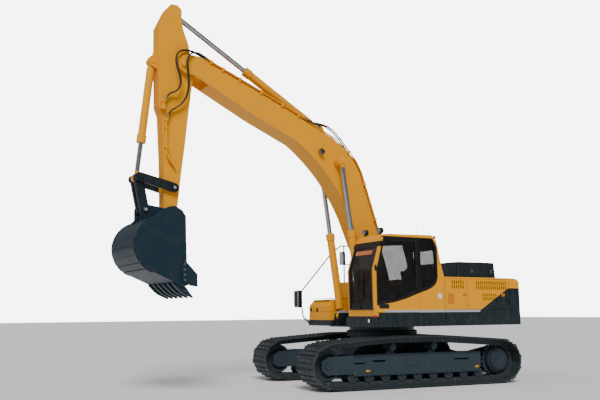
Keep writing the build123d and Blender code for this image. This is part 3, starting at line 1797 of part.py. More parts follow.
# Pipes down the arm's side: their line after the brackets, and the angled coupling at its end
arm_line = ((5192, 4900), (5186, 4560), (5140, 4462))
arm_bend = 60
elbow = ((5146, 4474), (5006, 4300), 21)
elbow_nut = ((5098, 4414), (5079, 4391), 26)
arm_clamps = ((5196, 5070), (5188, 4680))
arm_clamp_half = (26, 22)
valve_block = ((5246, 5322), 262, (5420, 5520))
with BuildPart() as arm_pipes:
    for table in (front_hoses, rear_hoses):
        before, end = table[-2:]
        dx, dz, length = unit(before[:2], end[:2])
        for column in (2, 3):
            y = end[column]
            for start, stop, radius in (
                (seat_gap, coupling_length + 1, coupling_radius),
                (coupling_length, coupling_length + bracket_plate + stub_length, arm_pipe_radius + 3),
            ):
                bar(along(end[:2], (dx, dz), start, y), along(end[:2], (dx, dz), stop, y), radius)
        corners = []
        for run, side in ((0, -1), (0, 1), (bracket_plate, 1), (bracket_plate, -1)):
            reach = coupling_length + run
            width = side * bracket_reach
            corners.append((end[0] + dx * reach - dz * width, end[1] + dz * reach + dx * width))
        slab(corners, arm_skin, end[3] + coupling_radius + clamp_cover)
    # Two pipes down the arm's side to an angled coupling
    end = rear_hoses[-1]
    start = (end[0] + dx * 100, end[1] + dz * 100)
    for y in end[2:]:
        lane_pipe((start, *arm_line), y, arm_pipe_radius, arm_bend)
        for (x, z), (end_x, end_z), radius in (elbow, elbow_nut):
            bar((x, y, z), (end_x, y, end_z), radius)
    half_x, half_z = arm_clamp_half
    for x, z in arm_clamps:
        block((x - half_x, x + half_x), (arm_skin, end[3] + half_z), (z - half_z, z + half_z))
    # The front pair's pipes end in a valve block on the arm's side
    valve_x, valve_side, valve_z = valve_block
    block(valve_x, (arm_skin, valve_side), valve_z)
write(arm_pipes, "arm_pipes")
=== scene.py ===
# Looks of the crawler excavator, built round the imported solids. Metres, +X forward, +Y left, +Z up.
import math

import bpy
from mathutils import Matrix, Vector


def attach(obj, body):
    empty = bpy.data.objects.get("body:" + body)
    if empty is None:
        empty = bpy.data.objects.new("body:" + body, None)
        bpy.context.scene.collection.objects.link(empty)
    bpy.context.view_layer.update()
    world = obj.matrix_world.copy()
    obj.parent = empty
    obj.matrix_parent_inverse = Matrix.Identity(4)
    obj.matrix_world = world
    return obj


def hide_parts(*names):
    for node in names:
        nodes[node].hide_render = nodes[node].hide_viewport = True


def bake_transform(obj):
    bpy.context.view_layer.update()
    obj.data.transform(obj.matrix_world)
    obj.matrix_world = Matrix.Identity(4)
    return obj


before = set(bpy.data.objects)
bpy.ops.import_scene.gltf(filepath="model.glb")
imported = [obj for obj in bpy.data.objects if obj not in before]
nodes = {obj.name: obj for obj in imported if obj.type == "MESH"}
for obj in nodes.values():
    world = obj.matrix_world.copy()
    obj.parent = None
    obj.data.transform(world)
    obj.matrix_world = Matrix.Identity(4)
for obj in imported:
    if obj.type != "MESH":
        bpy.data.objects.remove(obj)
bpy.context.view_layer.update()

# Mix node: its sockets for the mask and the two colours, and its colour output
MIX_MASK = 0
MIX_UNDER = 6
MIX_OVER = 7
MIX_COLOUR = 2


class Wire:
    """A shader value: sums and products of wires add their own Math nodes."""

    def __init__(self, tree, socket=None):
        self.tree = tree
        self.socket = socket

    def plug(self, socket, value):
        """Put a number, colour or wire on a socket."""
        if isinstance(value, Wire):
            self.tree.links.new(value.socket, socket)
        else:
            socket.default_value = value

    def node(self, kind, sockets=None, output=0, **settings):
        """Add any other node: its settings first, then values or links on its sockets."""
        made = self.tree.nodes.new(kind)
        for name, value in settings.items():
            setattr(made, name, value)
        for name, value in (sockets or {}).items():
            self.plug(made.inputs[name], value)
        return Wire(self.tree, made.outputs[output])

    def math(self, operation, first, second=0.0):
        """A Math node on one or two values."""
        return self.node("ShaderNodeMath", {0: first, 1: second}, operation=operation)

    def __add__(self, other):
        return self.math("ADD", self, other)

    __radd__ = __add__

    def __sub__(self, other):
        return self.math("SUBTRACT", self, other)

    def __rsub__(self, other):
        return self.math("SUBTRACT", other, self)

    def __mul__(self, other):
        return self.math("MULTIPLY", self, other)

    __rmul__ = __mul__

    def __truediv__(self, other):
        return self.math("DIVIDE", self, other)

    def wave(self):
        """The sine of the value."""
        return self.math("SINE", self)

    def least(self, other):
        """The smaller of two values."""
        return self.math("MINIMUM", self, other)

    def most(self, other):
        """The larger of two values."""
        return self.math("MAXIMUM", self, other)

    def above(self, level, soft=0.002):
        """0 where the value is under the level and 1 over it, turning over the soft width."""
        sockets = {"Value": self, "From Min": level - soft, "From Max": level + soft}
        return self.node("ShaderNodeMapRange", sockets, interpolation_type="SMOOTHSTEP")

    def below(self, level, soft=0.002):
        """1 where the value is under the level and 0 over it."""
        return 1 - self.above(level, soft)


def tone(red, green, blue):
    """A colour from its 0 to 255 screen values."""
    channels = []
    for value in (red, green, blue):
        share = value / 255
        channels.append(share / 12.92 if share <= 0.04045 else ((share + 0.055) / 1.055) ** 2.4)
    return (*channels, 1)


class Finish:
    """One finish: its shader, the place on the object, and the patterns read there."""

    def __init__(self, name, roughness=0.5, metallic=0.0, coat=0.0):
        self.material = bpy.data.materials.new(name)
        self.material.use_nodes = True
        self.tree = self.material.node_tree
        self.shader = self.tree.nodes["Principled BSDF"]
        self.start = Wire(self.tree)
        self.place = self.start.node("ShaderNodeTexCoord", output="Object")
        self.x, self.y, self.z = (
            self.start.node("ShaderNodeSeparateXYZ", {0: self.place}, output=axis) for axis in "XYZ"
        )
        self.put("Roughness", roughness)
        self.put("Metallic", metallic)
        self.put("Coat Weight", coat)
        self.put("Coat Roughness", 0.12)

    def put(self, socket, value):
        """Set one of the shader's sockets."""
        self.start.plug(self.shader.inputs[socket], value)

    def noise(self, scale, detail=3.0, stretch=(1, 1, 1)):
        """A cloudy 0 to 1 pattern; stretch makes it run along an axis."""
        spot = self.place
        if stretch != (1, 1, 1):
            spot = self.start.node("ShaderNodeMapping", {"Vector": spot, "Scale": stretch})
        return self.start.node("ShaderNodeTexNoise", {"Vector": spot, "Scale": scale, "Detail": detail})

    def mix(self, mask, under, over):
        """The colour under where the mask is 0, and over where it is 1."""
        return self.start.node(
            "ShaderNodeMix",
            {MIX_MASK: mask, MIX_UNDER: under, MIX_OVER: over},
            output=MIX_COLOUR,
            data_type="RGBA",
        )

    def bump(self, height, strength, distance):
        """Relief from a height, with a distance in metres."""
        sockets = {"Strength": strength, "Distance": distance, "Height": height}
        self.put("Normal", self.start.node("ShaderNodeBump", sockets))


# Colours
YELLOW = tone(238, 160, 0)
YELLOW_DEEP = tone(214, 124, 2)
DARK = tone(17, 33, 39)
DARK_DEEP = tone(46, 62, 70)
SILVER = tone(176, 178, 182)
DUST = tone(150, 138, 118)
SOIL = tone(96, 84, 70)

# Paint scheme of the upper structure: heights and places in metres
STRIPE_LOW = 1.490
STRIPE_HIGH = 1.540
STRIPE_REAR = -1.66
STRIPE_FRONT = 1.00
BAR_FRONT = 1.17
BAR_LOW = 1.42
WEDGE_FOOT = (-1.612, 1.551)
WEDGE_HEAD = (-2.431, 2.008)
WEDGE_LAP = 0.05

# Painted eyes of the cylinder rods: how far the paint reaches from the eye's middle
EYE_REACH = 0.135

# Outline of the cab: its sides and roof, and the lines of its front and its back, each as
# x at a height, that height and the lean. Inner faces lie deeper than CAB_WALL.
CAB_RIGHT = 0.57
CAB_LEFT = 1.49
CAB_ROOF = 3.085
CAB_FRONT_LINES = ((1.262, 1.4, 0.0), (1.276, 2.352, -0.327), (1.110, 2.860, -0.651))
CAB_REAR_LINES = (
    (-0.56, 1.4, 0.0),
    (-0.56, 2.245, 0.271),
    (-0.48, 2.540, 0.214),
    (-0.385, 2.984, 1.107),
)
CAB_WALL = 0.022

# Black band round the cab's side windows: its lower edge as x and height, and the start and
# the span of the curve that carries it. Pillar: x, height where it leans, and lean.
SURROUND_FOOT = (
    (-0.5, 2.5),
    (-0.40, 2.24),
    (-0.33, 2.08),
    (-0.2, 1.99),
    (0.1, 1.89),
    (0.6, 1.735),
    (1.0, 1.665),
    (1.25, 1.655),
    (1.5, 1.655),
)
SURROUND_START = (-0.5, 1.4)
SURROUND_SPAN = (2.0, 1.8)
SURROUND_TOP = 3.035
SURROUND_SIDE = 1.40
FRONT_PILLAR = (1.205, 2.345, 0.29)
REAR_PILLAR = (-0.392, 2.95, 0.6)
REAR_PILLAR_HEAD = -0.33
SURROUND_SOFT = 0.003
BROW_LOW = 2.82
BROW_HIGH = 2.935
BROW_REAR = 1.04
# Service and pump doors: how far their outer sheets stand from the machine's middle; faces behind them are
# painted dark as painted shade in the louvre slots
DOOR_SKIN = 1.484


def weather(finish, colour, low, amount):
    """Dust that gathers towards a low height, and broad changes of tone."""
    clouds = finish.noise(2.2, 4)
    grime = finish.noise(14, 5, (1, 1, 0.35)).above(0.52, 0.16)
    reach = finish.z.below(low, low * 0.7 + 0.1) * amount + 0.03
    return finish.mix((grime * reach).least(1.0), finish.mix(clouds * 0.25, colour, shade(colour)), DUST)


def shade(colour, share=0.78):
    """A darker shade of a colour."""
    return tuple(channel * share for channel in colour[:3]) + (1,)


def spray(finish, ripple):
    """The fine ripple of a sprayed coat, and its gloss."""
    finish.put("Specular IOR Level", 0.22)
    finish.bump(finish.noise(220, 2) + finish.noise(28, 3) * 0.8, ripple, 0.0006)


def paint(name, colour, rough=0.38, coat=0.12):
    """Sprayed paint: broad tone, dust low down, and the fine ripple of a sprayed coat."""
    finish = Finish(name, coat=coat)
    finish.put("Base Color", weather(finish, colour, low=0.7, amount=0.12))
    finish.put("Roughness", rough + finish.noise(6, 4) * 0.14)
    spray(finish, 0.2)
    return finish


def scheme_paint(name, trim_edge=None, painted_shade_inside=None):
    """The upper structure's paint: yellow above, a silver line, dark below and a dark rear wedge."""
    finish = Finish(name, coat=0.12)
    slope = (WEDGE_HEAD[1] - WEDGE_FOOT[1]) / (WEDGE_HEAD[0] - WEDGE_FOOT[0])
    wedge_line = WEDGE_FOOT[1] + (finish.x - WEDGE_FOOT[0]) * slope
    under_wedge = (finish.z - wedge_line).below(0) * finish.z.below(WEDGE_HEAD[1])
    front_bar = finish.x.above(BAR_FRONT) * finish.z.above(BAR_LOW)
    wedge = under_wedge * finish.x.below(WEDGE_FOOT[0] + WEDGE_LAP)
    dark_area = (finish.z.below(STRIPE_LOW) - front_bar).most(wedge).most(0)
    stripe = finish.z.above(STRIPE_LOW) * finish.z.below(STRIPE_HIGH) * finish.x.above(STRIPE_REAR)
    stripe = stripe * finish.x.below(STRIPE_FRONT)
    colour = finish.mix(stripe, YELLOW, SILVER)
    colour = finish.mix(dark_area, colour, DARK)
    if trim_edge:
        colour = finish.mix(trim_edge(finish), colour, tone(16, 18, 20))
    # Near-black on the faces the mask picks: painted shade inside the cab and behind the doors' louvres
    if painted_shade_inside:
        colour = finish.mix(painted_shade_inside(finish), colour, tone(30, 32, 34))
    clouds = finish.noise(2.2, 4) * 0.2
    grime = finish.noise(14, 5, (1, 1, 0.35)).above(0.55, 0.16) * (finish.z.below(1.7, 0.6) * 0.05 + 0.02)
    colour = finish.mix(clouds, colour, finish.start.node("ShaderNodeGamma", {0: colour, 1: 1.12}))
    finish.put("Base Color", finish.mix(grime, colour, DUST))
    finish.put("Roughness", 0.3 + finish.noise(6, 4) * 0.12)
    spray(finish, 0.25)
    return finish


def cast_steel(name, colour, rough=0.55, wear=0.0, worn=tone(150, 148, 144), rust=0.0):
    """Dark painted or bare steel with scuffs, soil and a rough skin."""
    finish = Finish(name, metallic=0.25)
    scuffs = finish.noise(26, 6, (1, 3, 1)).above(0.66, 0.08) * wear
    soil = finish.noise(5, 6).above(0.6, 0.25) * 0.12
    colour = finish.mix(soil, finish.mix(finish.noise(3, 4) * 0.5, colour, shade(colour, 0.6)), SOIL)
    if rust:
        colour = finish.mix(finish.noise(30, 6).above(0.56, 0.1) * rust, colour, tone(92, 58, 36))
    finish.put("Base Color", finish.mix(scuffs, colour, worn))
    finish.put("Metallic", scuffs * 0.7 + 0.2)
    finish.put("Roughness", rough + finish.noise(12, 4) * 0.16 - scuffs * 0.2)
    finish.put("Specular IOR Level", 0.3)
    finish.bump(finish.noise(90, 4) + finish.noise(300, 2) * 0.5, 0.4, 0.0012)
    return finish


def chrome(name, eye):
    """Ground and chromed rod with faint grinding lines and an oil film, and its painted eye."""
    finish = Finish(name, roughness=0.12, metallic=1.0)
    film = finish.noise(7, 4)
    across, up = finish.x - eye[0], finish.z - eye[1]
    painted = (across * across + up * up).below(EYE_REACH * EYE_REACH, 0.0008)
    bright = finish.mix(film * 0.5, tone(196, 198, 204), tone(160, 164, 172))
    finish.put("Base Color", finish.mix(painted, bright, YELLOW))
    finish.put("Metallic", 1 - painted)
    finish.put("Roughness", film.above(0.55, 0.2) * 0.12 + 0.1 + painted * 0.3)
    finish.bump(finish.noise(60, 2, (0.2, 1, 8)), 0.04, 0.0004)
    return finish


def rubber(name, colour=tone(24, 24, 25)):
    """Black rubber with a matt, slightly uneven skin."""
    finish = Finish(name, roughness=0.62)
    finish.put("Base Color", finish.mix(finish.noise(18, 4) * 0.6, colour, tone(44, 43, 42)))
    finish.put("Roughness", 0.5 + finish.noise(30, 3) * 0.25)
    finish.bump(finish.noise(500, 2), 0.2, 0.0005)
    return finish


def moulded(name, colour, rough=0.5):
    """Moulded plastic with a fine leather-like grain."""
    finish = Finish(name, roughness=rough)
    finish.put("Base Color", finish.mix(finish.noise(4, 3) * 0.4, colour, shade(colour, 0.7)))
    grain = finish.start.node("ShaderNodeTexVoronoi", {"Vector": finish.place, "Scale": 380.0})
    finish.put("Roughness", rough + finish.noise(20, 3) * 0.12)
    finish.bump(grain, 0.25, 0.0004)
    return finish


def tinted_glass(name, tint, alpha=0.55):
    """Tinted safety glass: dark, see-through, with a little dust on it."""
    finish = Finish(name, roughness=0.04)
    dust = finish.noise(3.5, 5).above(0.5, 0.3) * 0.06
    finish.put("Base Color", finish.mix(dust, tint, tone(120, 116, 108)))
    finish.put("Roughness", dust * 2.0 + 0.03)
    finish.put("Alpha", dust * 0.8 + alpha)
    return finish


def woven(name, colour, thread=900.0):
    """Woven cloth: crossed waves for the threads."""
    finish = Finish(name, roughness=0.9)
    along = (finish.y * thread).wave()
    across = ((finish.z + finish.x) * thread).wave()
    weave = along * across * 0.5 + 0.5
    finish.put("Base Color", finish.mix(weave * 0.5 + finish.noise(40, 3) * 0.3, colour, shade(colour, 0.5)))
    finish.put("Sheen Weight", 0.25)
    finish.bump(weave + finish.noise(120, 3) * 0.3, 0.5, 0.0008)
    return finish


def glow(name, colour, strength):
    """A lamp lens: clear ribbed plastic over a bright bowl."""
    finish = Finish(name, roughness=0.12, coat=0.6)
    ribs = (finish.y * 420).wave()
    finish.put("Base Color", finish.mix(finish.noise(60, 2) * 0.4, colour, shade(colour, 0.7)))
    finish.put("Emission Color", colour)
    finish.put("Emission Strength", strength)
    finish.bump(ribs, 0.3, 0.001)
    return finish


def give(finish, *names):
    """Give CAD nodes one finish."""
    for name in names:
        target = nodes[name]
        target.data.materials.clear()
        target.data.materials.append(finish.material)


def within_cab(finish):
    """1 on the cab's inner faces, which lie deeper than its wall inside the outline."""
    depth = (finish.y - CAB_RIGHT).least(CAB_LEFT - finish.y).least(CAB_ROOF - finish.z)
    for x, z, lean in CAB_FRONT_LINES:
        depth = depth.least(x + (finish.z - z) * lean - finish.x)
    for x, z, lean in CAB_REAR_LINES:
        depth = depth.least(finish.x - x - (finish.z - z) * lean)
    return depth.above(CAB_WALL)


def black_surround(finish):
    """The black band round the cab's side windows, as one curved shape across door and shell."""
    across = (finish.x - SURROUND_START[0]) / SURROUND_SPAN[0]
    edge = finish.start.node("ShaderNodeFloatCurve", {"Value": across})
    mapping = edge.socket.node.mapping
    for x, height in SURROUND_FOOT:
        mapping.curves[0].points.new(
            (x - SURROUND_START[0]) / SURROUND_SPAN[0],
            (height - SURROUND_START[1]) / SURROUND_SPAN[1],
        )
    mapping.update()
    foot = edge * SURROUND_SPAN[1] + SURROUND_START[1]
    outside = finish.y.above(SURROUND_SIDE)
    low = (finish.z - foot).above(0, SURROUND_SOFT)
    high = finish.z.below(SURROUND_TOP, SURROUND_SOFT)
    # Front edge: upright, then raked back with the pillar
    x, z, lean = FRONT_PILLAR
    front = (finish.x - x).most((finish.z - z) * lean + finish.x - x).below(0, SURROUND_SOFT)
    x, z, lean = REAR_PILLAR
    rear_head = (finish.z - z) * lean + REAR_PILLAR_HEAD - finish.x
    rear = (x - finish.x).most(rear_head).below(0, SURROUND_SOFT)
    side_band = outside * low * high * front * rear
    # Dark brow over the windscreen
    brow = finish.z.above(BROW_LOW) * finish.z.below(BROW_HIGH) * finish.x.above(BROW_REAR)
    return side_band.most(brow)


# Finishes of the CAD nodes
yellow_paint = paint("yellow_paint", YELLOW)
body_paint = scheme_paint("body_paint")
# The cab's inner faces are painted near-black: painted shade inside the cab
cab_paint = scheme_paint("cab_paint", black_surround, within_cab)
# The doors' faces behind the outer sheet are painted near-black: painted shade in the louvre slots
left_door_paint = scheme_paint("left_door_paint", painted_shade_inside=lambda finish: finish.y.below(DOOR_SKIN))
right_door_paint = scheme_paint("right_door_paint", painted_shade_inside=lambda finish: finish.y.above(-DOOR_SKIN))
dark_paint = paint("dark_paint", DARK, rough=0.36, coat=0.3)
frame_paint = cast_steel("frame_paint", DARK_DEEP, wear=0.08)
track_steel = cast_steel("track_steel", tone(52, 62, 68), rough=0.45, wear=0.5, rust=0.1)
bucket_paint = cast_steel("bucket_paint", tone(20, 46, 60), rough=0.36, wear=0.05)
# Rods, with the x and height of each one's eye
boom_rod_chrome = chrome("boom_rod_chrome", (1.284, 4.742))
arm_rod_chrome = chrome("arm_rod_chrome", (5.070, 7.500))
bucket_rod_chrome = chrome("bucket_rod_chrome", (5.705, 4.060))
black_rubber = rubber("black_rubber")
cab_plastic = moulded("cab_plastic", tone(38, 39, 42))
lamp_plastic = moulded("lamp_plastic", tone(20, 21, 22), 0.4)
seat_cloth = woven("seat_cloth", tone(44, 46, 50))
window_glass = tinted_glass("window_glass", tone(8, 12, 14), 0.5)
engine_paint = cast_steel("engine_paint", tone(40, 42, 44))
cooler_metal = moulded("cooler_metal", tone(60, 62, 64), 0.45)
rail_paint = paint("rail_paint", tone(26, 32, 38), rough=0.4, coat=0.2)

give(yellow_paint, "boom", "arm", "boom_barrels", "arm_barrel", "bucket_barrel", "tool_box_lid", "tool_box")
give(yellow_paint, "boom_pipes", "arm_pipes")
give(body_paint, "hood", "fuel_tank", "hydraulic_tank", "counterweight", "revolving_frame")
give(left_door_paint, "service_door_front", "service_door_rear")
give(right_door_paint, "pump_door")
give(cab_paint, "cab_shell", "cab_door")
give(dark_paint, "engine_cover", "rocker", "bucket_link", "exhaust_pipe")
give(frame_paint, "carbody", "swing_bearing")
for side in ("left", "right"):
    give(frame_paint, f"track_frame_{side}", f"idler_{side}", f"final_drive_{side}", f"rollers_{side}")
    give(track_steel, f"track_{side}")
give(bucket_paint, "bucket", "bucket_teeth", "side_cutters")
give(boom_rod_chrome, "boom_rods")
give(arm_rod_chrome, "arm_rod")
give(bucket_rod_chrome, "bucket_rod")
give(engine_paint, "engine")
give(cooler_metal, "radiator")
give(rail_paint, "handrail")
give(lamp_plastic, "work_lamps", "boom_lamp", "mirrors")
give(seat_cloth, "seat")
give(cab_plastic, "consoles")
give(window_glass, "cab_glass", "door_glass")


# Modelling helpers: a primitive at its size and place, shaped in edit mode.
# Directions, how square to one a face has to look, and the slope of a sunk panel's edge
FRONT = (1, 0, 0)
REAR = (-1, 0, 0)
LEFT = (0, 1, 0)
UP = (0, 0, 1)
SQUARE = 0.99
PANEL_SLOPE = 0.0006
# Name of each side and its direction along Y
SIDES = (("left", 1), ("right", -1))


def begin():
    """Leave edit mode and deselect everything."""
    if bpy.context.object and bpy.context.object.mode != "OBJECT":
        bpy.ops.object.mode_set(mode="OBJECT")
    bpy.ops.object.select_all(action="DESELECT")


def take(piece):
    """Select one piece alone and make it active."""
    begin()
    piece.select_set(True)
    bpy.context.view_layer.objects.active = piece


def settle(piece):
    """Put the turn, size and place of a piece in its mesh."""
    take(piece)
    bpy.ops.object.transform_apply(location=True, rotation=True, scale=True)
    return piece


def cube(low, high):
    """A box between two corners."""
    begin()
    middle = [(a + b) / 2 for a, b in zip(low, high)]
    bpy.ops.mesh.primitive_cube_add(size=1, location=middle)
    piece = bpy.context.object
    piece.scale = [b - a for a, b in zip(low, high)]
    return settle(piece)


def pointing(start, end):
    """The turn and place that lay the Z axis from start to end."""
    line = Vector(end) - Vector(start)
    turn = Vector(UP).rotation_difference(line.normalized())
    return Matrix.Translation((Vector(start) + Vector(end)) / 2) @ turn.to_matrix().to_4x4()


def drum(start, end, radius, sides=32, top=None):
    """A round bar, or a cone where the top radius differs, between two points."""
    begin()
    length = (Vector(end) - Vector(start)).length
    bpy.ops.mesh.primitive_cone_add(
        vertices=sides, radius1=radius, radius2=radius if top is None else top, depth=length
    )
    piece = bpy.context.object
    piece.matrix_world = pointing(start, end)
    return settle(piece)


def pick(piece, test):
    """Enter edit mode with only the faces that pass a test selected."""
    take(piece)
    bpy.context.tool_settings.mesh_select_mode = (False, False, True)
    for corner in piece.data.vertices:
        corner.select = False
    for edge in piece.data.edges:
        edge.select = False
    for face in piece.data.polygons:
        face.select = test(face)
    bpy.ops.object.mode_set(mode="EDIT")


def inset(piece, test, thickness, depth=0.0):
    """Inset the faces that pass a test; depth lifts them, or sinks them if negative."""
    pick(piece, test)
    bpy.ops.mesh.inset(thickness=thickness, depth=depth)
    bpy.ops.object.mode_set(mode="OBJECT")
    return piece


def facing(axis, share=0.9):
    """A test for faces that look along an axis."""
    direction = Vector(axis).normalized()
    return lambda face: face.normal.dot(direction) > share


def ends_of(start, end):
    """A test for both end faces of a bar."""
    direction = (Vector(end) - Vector(start)).normalized()
    return lambda face: abs(face.normal.dot(direction)) > SQUARE


def soften(piece, width, segments=2, angle=30):
    """Round the sharp edges."""
    take(piece)
    bpy.ops.object.modifier_add(type="BEVEL")
    rounding = piece.modifiers[-1]
    rounding.width = width
    rounding.segments = segments
    rounding.limit_method = "ANGLE"
    rounding.angle_limit = math.radians(angle)
    bpy.ops.object.modifier_apply(modifier=rounding.name)
    return piece


def smooth(piece, angle=35):
    """Shade the piece smooth, apart from its sharp edges."""
    take(piece)
    bpy.ops.object.shade_smooth_by_angle(angle=math.radians(angle))
    return piece


def spread(model, spots):
    """Copies of a model made at the origin, each with its own mesh, one at each spot."""
    copies = []
    for spot in spots:
        copy = model.copy()
        copy.data = model.data.copy()
        copy.data.transform(spot)
        bpy.context.collection.objects.link(copy)
        copies.append(copy)
    bpy.data.objects.remove(model)
    return copies


def join(pieces):
    """One piece from several."""
    begin()
    for piece in pieces:
        piece.select_set(True)
    bpy.context.view_layer.objects.active = pieces[0]
    bpy.ops.object.join()
    return pieces[0]


def tube(points, radius, rounded=0.0, sides=3):
    """A bent tube through points, with its corners rounded off by a distance."""
    curve = bpy.data.curves.new("tube", "CURVE")
    curve.dimensions = "3D"
    corners = []
    for index, point in enumerate(points):
        here = Vector(point)
        if rounded and 0 < index < len(points) - 1:
            for other in (points[index - 1], points[index + 1]):
                toward = Vector(other) - here
                corners.append(here + toward.normalized() * min(rounded, toward.length * 0.45))
                if other == points[index - 1]:
                    corners.append(here)
        else:
            corners.append(here)
    spline = curve.splines.new("NURBS")
    spline.points.add(len(corners) - 1)
    for target, corner in zip(spline.points, corners):
        target.co = (*corner, 1)
    spline.order_u = 3
    spline.use_endpoint_u = True
    spline.resolution_u = 6
    curve.bevel_depth = radius
    curve.bevel_resolution = sides
    curve.use_fill_caps = True
    piece = bpy.data.objects.new("tube", curve)
    bpy.context.collection.objects.link(piece)
    take(piece)
    bpy.ops.object.convert(target="MESH")
    return bpy.context.object


def place(piece, name, body, finish):
    """Name a finished piece, give it its finish and let it ride."""
    piece.name = name
    piece.data.materials.clear()
    piece.data.materials.append(finish.material)
    smooth(piece)
    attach(piece, body)
    return piece


def spot_at(point, axis=UP):
    """The matrix that puts a model's Z axis on an axis at a point."""
    direction = Vector(UP).rotation_difference(Vector(axis).normalized())
    return Matrix.Translation(point) @ direction.to_matrix().to_4x4()


def bolt(across, height):
    """A hexagon head on its washer, at the origin along Z."""
    washer = drum((0, 0, -0.002), (0, 0, 0.003), across * 0.72, 16)
    head = drum((0, 0, 0.002), (0, 0, height), across * 0.577, 6)
    inset(head, facing(UP), across * 0.09, 0.001)
    return join([washer, head])


def circle_spots(centre, axis, radius, count, first=0.0):
    """Spots round a circle, all along its axis."""
    turn = Vector(UP).rotation_difference(Vector(axis).normalized()).to_matrix()
    spots = []
    for index in range(count):
        angle = first + 2 * math.pi * index / count
        offset = turn @ Vector((radius * math.cos(angle), radius * math.sin(angle), 0))
        spots.append(spot_at(Vector(centre) + offset, axis))
    return spots


# Hoses over the boom head and over the boom's bend. The route's points in metres are
# x, z and the place across of the inner and the outer hose of each pair.
HOSE_DIAMETER = 0.030
FRONT_ROUTE = (
    (4.3774, 6.5702, 0.172, 0.205),
    (4.528, 6.647, 0.172, 0.205),
    (4.700, 6.702, 0.174, 0.209),
    (4.880, 6.690, 0.190, 0.227),
    (5.022, 6.592, 0.235, 0.273),
    (5.065, 6.420, 0.285, 0.323),
    (5.032, 6.250, 0.310, 0.348),
    (4.975, 6.092, 0.312, 0.350),
    (4.952, 5.930, 0.290, 0.328),
    (5.030, 5.792, 0.248, 0.286),
    (5.170, 5.752, 0.200, 0.238),
    (5.240, 5.609, 0.200, 0.238),
)
REAR_ROUTE = (
    (4.3774, 6.5702, 0.238, 0.271),
    (4.520, 6.643, 0.238, 0.271),
    (4.672, 6.652, 0.268, 0.303),
    (4.800, 6.572, 0.302, 0.338),
    (4.842, 6.415, 0.312, 0.348),
    (4.822, 6.250, 0.312, 0.348),
    (4.798, 6.080, 0.306, 0.342),
    (4.786, 5.905, 0.290, 0.326),
    (4.812, 5.735, 0.262, 0.298),
    (4.884, 5.590, 0.232, 0.268),
    (5.006, 5.480, 0.206, 0.242),
    (5.136, 5.408, 0.190, 0.228),
    (5.179, 5.254, 0.190, 0.228),
)
HUMP_ROUTE = (
    (2.1196, 5.6338, 0.205, 0.271),
    (1.983, 5.5735, 0.205, 0.271),
    (1.835, 5.548, 0.207, 0.274),
    (1.680, 5.545, 0.210, 0.278),
    (1.525, 5.510, 0.211, 0.280),
    (1.385, 5.430, 0.209, 0.278),
    (1.265, 5.325, 0.207, 0.275),
    (1.150, 5.213, 0.205, 0.271),
    (1.045, 5.095, 0.205, 0.271),
)
# Name, route, length in metres and whether it crosses to the arm
HOSES = (
    ("front_hose", FRONT_ROUTE, 1.84, True),
    ("rear_hose", REAR_ROUTE, 1.92, True),
    ("hump_hose", HUMP_ROUTE, 1.20, False),
)
FERRULE_LENGTH = 0.075


def hose_tube(route, diameter):
    """A tube along the smooth line of a route, and the points of that line."""
    curve = bpy.data.curves.new("hose", "CURVE")
    curve.dimensions = "3D"
    spline = curve.splines.new("NURBS")
    spline.points.add(len(route) - 1)
    for target, point in zip(spline.points, route):
        target.co = (*point, 1)
    spline.order_u = 3
    spline.use_endpoint_u = True
    spline.resolution_u = 10
    piece = bpy.data.objects.new("hose", curve)
    bpy.context.collection.objects.link(piece)
    line = bpy.data.meshes.new_from_object(piece)
    path = [tuple(point.co) for point in line.vertices]
    curve.bevel_depth = diameter / 2
    curve.bevel_resolution = 5
    curve.use_fill_caps = True
    take(piece)
    bpy.ops.object.convert(target="MESH")
    return bpy.context.object, path


def ferrule():
    """A crimped steel sleeve with its nut, at the origin along Z."""
    sleeve = drum((0, 0, 0.012), (0, 0, FERRULE_LENGTH), 0.0162, 24)
    nut = drum((0, 0, 0), (0, 0, 0.016), 0.0163, 6)
    pick(sleeve, lambda face: abs(face.normal.z) < 0.5)
    bpy.ops.mesh.subdivide(number_cuts=1)
    bpy.ops.object.mode_set(mode="OBJECT")
    inset(sleeve, facing(UP), 0.0016, 0.003)
    return join([sleeve, nut])


def lay_hoses():
    """The six hoses and the sleeves at their ends."""
    hose_rubber = rubber("hose_rubber", tone(20, 20, 21))
    plated = cast_steel("plated_steel", tone(120, 118, 112), rough=0.3, wear=0.3)
    sleeve_spots = {"boom": [], "arm": []}
    for name, route, length, crosses in HOSES:
        for column, lane in ((2, "inner"), (3, "outer")):
            points = [(point[0], point[column], point[1]) for point in route]
            node_name = f"{name}_{lane}"
            piece, path = hose_tube(points, HOSE_DIAMETER)
            piece.name = f"{node_name}_rubber"
            piece.data.materials.clear()
            piece.data.materials.append(hose_rubber.material)
            smooth(piece, 60)
            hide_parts(node_name)
            if crosses:
                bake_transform(piece)
            else:
                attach(piece, "boom")
            ends = (("boom", points[0], points[1]), ("arm" if crosses else "boom", points[-1], points[-2]))
            for body, start, after in ends:
                sleeve_spots[body].append(spot_at(start, Vector(after) - Vector(start)))
    for body, spots in sleeve_spots.items():
        for index, sleeve in enumerate(spread(ferrule(), spots)):
            place(sleeve, f"hose_sleeve_{body}_{index + 1}", body, plated)


lay_hoses()


